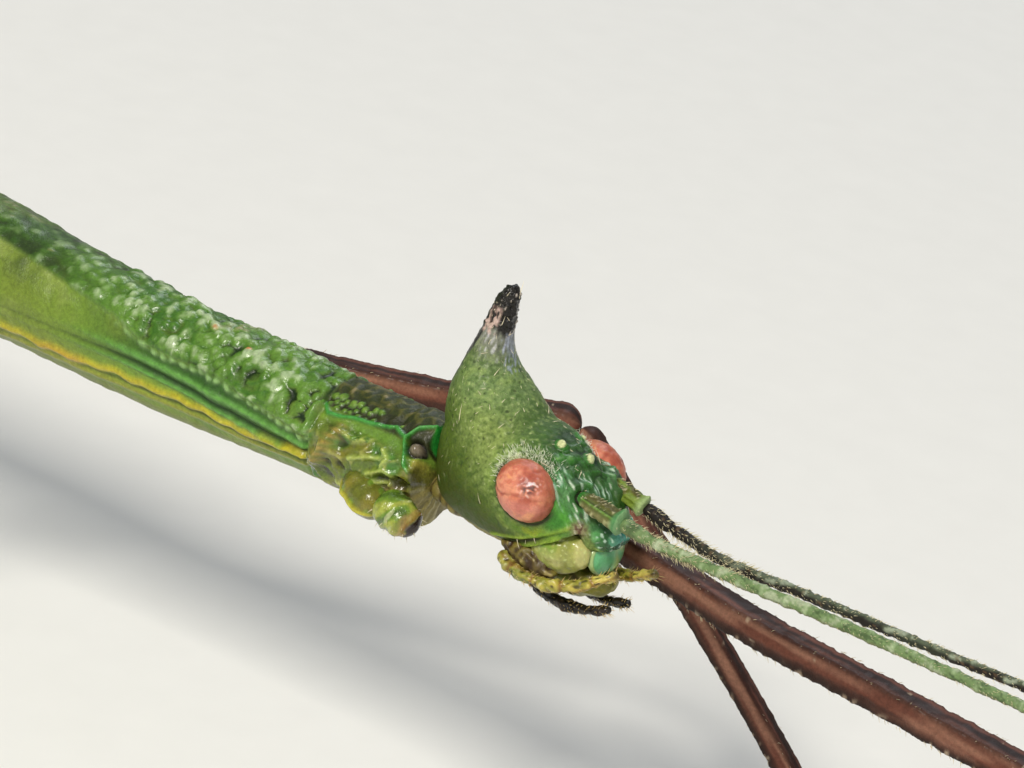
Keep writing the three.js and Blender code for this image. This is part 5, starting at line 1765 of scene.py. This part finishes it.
# Clear golden chitin: each hair shows as one bright glint against the skin.
bristle_chitin = cuticle(
    "clear_bristle_chitin", grain=0.05, relief=0.001, roughness=0.3, variety=0.1, coat=0.2
)
HEAD_HAIRS = [
    # how many, the shortest and longest, and their radius
    (300, (0.07, 0.16), 0.011),
    (45, (0.18, 0.3), 0.012),
    (9, (0.36, 0.5), 0.014),
]
EYE_FRINGES = [
    # how far out on the eye's disc, over what width, how many, and the shortest and longest
    (1.0, 0.07, 620, (0.04, 0.12)),
    (1.14, 0.14, 260, (0.06, 0.2)),
]
CHEEK_HAIRS, STUMP_HAIRS = 26, 40
draw = np.random.default_rng(29)
for count, length, reach in HEAD_HAIRS:
    roots, outward, spots = skin_spots("head_skin", count, lambda x, y, z: (
        step(z, -1.5, -0.9) * step(x, 1.2, 0.4) * (0.3 + step(z, -0.2, 1.2)) * step(x, -3.5, -3.2)
    ))
    ahead = np.array([0.45, 0, 0.75]) + draw.normal(size=roots.shape) * 0.6
    ahead = ahead - outward * (ahead * outward).sum(axis=1)[:, None]
    grow(roots, outward, ahead, length, reach, 0.86, spots)
roots, outward, spots = skin_spots(
    "head_skin", CHEEK_HAIRS, lambda x, y, z: hump(z, -1.5, 0.2) * step(x, -1.2, -0.4)
)
ahead = np.tile([0.8, 0, -0.6], (CHEEK_HAIRS, 1))
grow(roots, outward, ahead, (0.1, 0.28), 0.011, 0.5, spots)
hair_piece("head_hairs", "#E6DCBC", "membrane")

for ring, spread, count, length in EYE_FRINGES:
    roots, outward, spots = skin_spots("head_skin", count, lambda x, y, z: (
        hump(eye_ring(x, y, z), ring, spread) * step(z - 0.4 * x, 0.15, 0.6) * step(np.abs(y), 0.7, 1.0)
    ))
    from_eye = roots * (1, 0, 1) + (EYE_BACKS["right"], 0, EYE_DROPS["right"])
    from_eye = from_eye + draw.normal(size=from_eye.shape) * 0.5
    grow(roots, outward, from_eye, length, 0.007, 0.7, spots)
hair_piece("eye_fringe_hairs", "#F2F6E0", "membrane")

for number, (name, path) in enumerate(palp_paths.items()):
    reach, count = (0.12, 200) if name.startswith("labial") else (0.13, 170)
    column = number, len(palp_paths)
    bristles(route(path), reach, count, (0.1, 0.99), (0.07, 0.2), 0.45, column)
hair_piece("palp_bristles", "#D4B878", "palp_yellow")

for number, (scape_way, feeler_way) in enumerate(antenna_ways.values()):
    column = number, len(antenna_ways)
    bristles(scape_way, 0.23, 60, (0.1, 0.98), (0.06, 0.16), 0.5, column)
    bristles(feeler_way, 0.15, 430, (0.002, 0.07), (0.08, 0.22), 0.5, column)
    bristles(feeler_way, 0.12, 900, (0.07, 0.35), (0.06, 0.15), 0.5, column)
    bristles(feeler_way, 0.07, 500, (0.35, 0.98), (0.05, 0.1), 0.5, column)
hair_piece("antenna_bristles", "#D2C8A0", "antenna_dark")

for number, (name, leg_way) in enumerate(leg_ways.items()):
    reach = LEGS[name.rsplit("_", 1)[0]]["radius"] if name.endswith("femur") else TIBIA_RADIUS
    column = number, len(leg_ways)
    for corner in (CORNERS[0], CORNERS[1], -CORNERS[1], -CORNERS[0]):
        count = int((3 if abs(corner) < 90 else 6) * leg_way.length)
        bristles(leg_way, reach, count, (0.03, 0.98), (0.06, 0.17), 0.45, column, corner)
hair_piece("leg_bristles", "#CFC09C", "membrane")

roots, outward, spots = skin_spots(
    "lost_leg_stump", STUMP_HAIRS, lambda x, y, z: step(z, -1.9, -2.3)
)
ahead = np.tile([0.4, -0.2, -1], (STUMP_HAIRS, 1))
grow(roots, outward, ahead, (0.06, 0.2), 0.01, 0.3, spots)
hair_piece("stump_hairs", "#CFC6A0", "membrane")
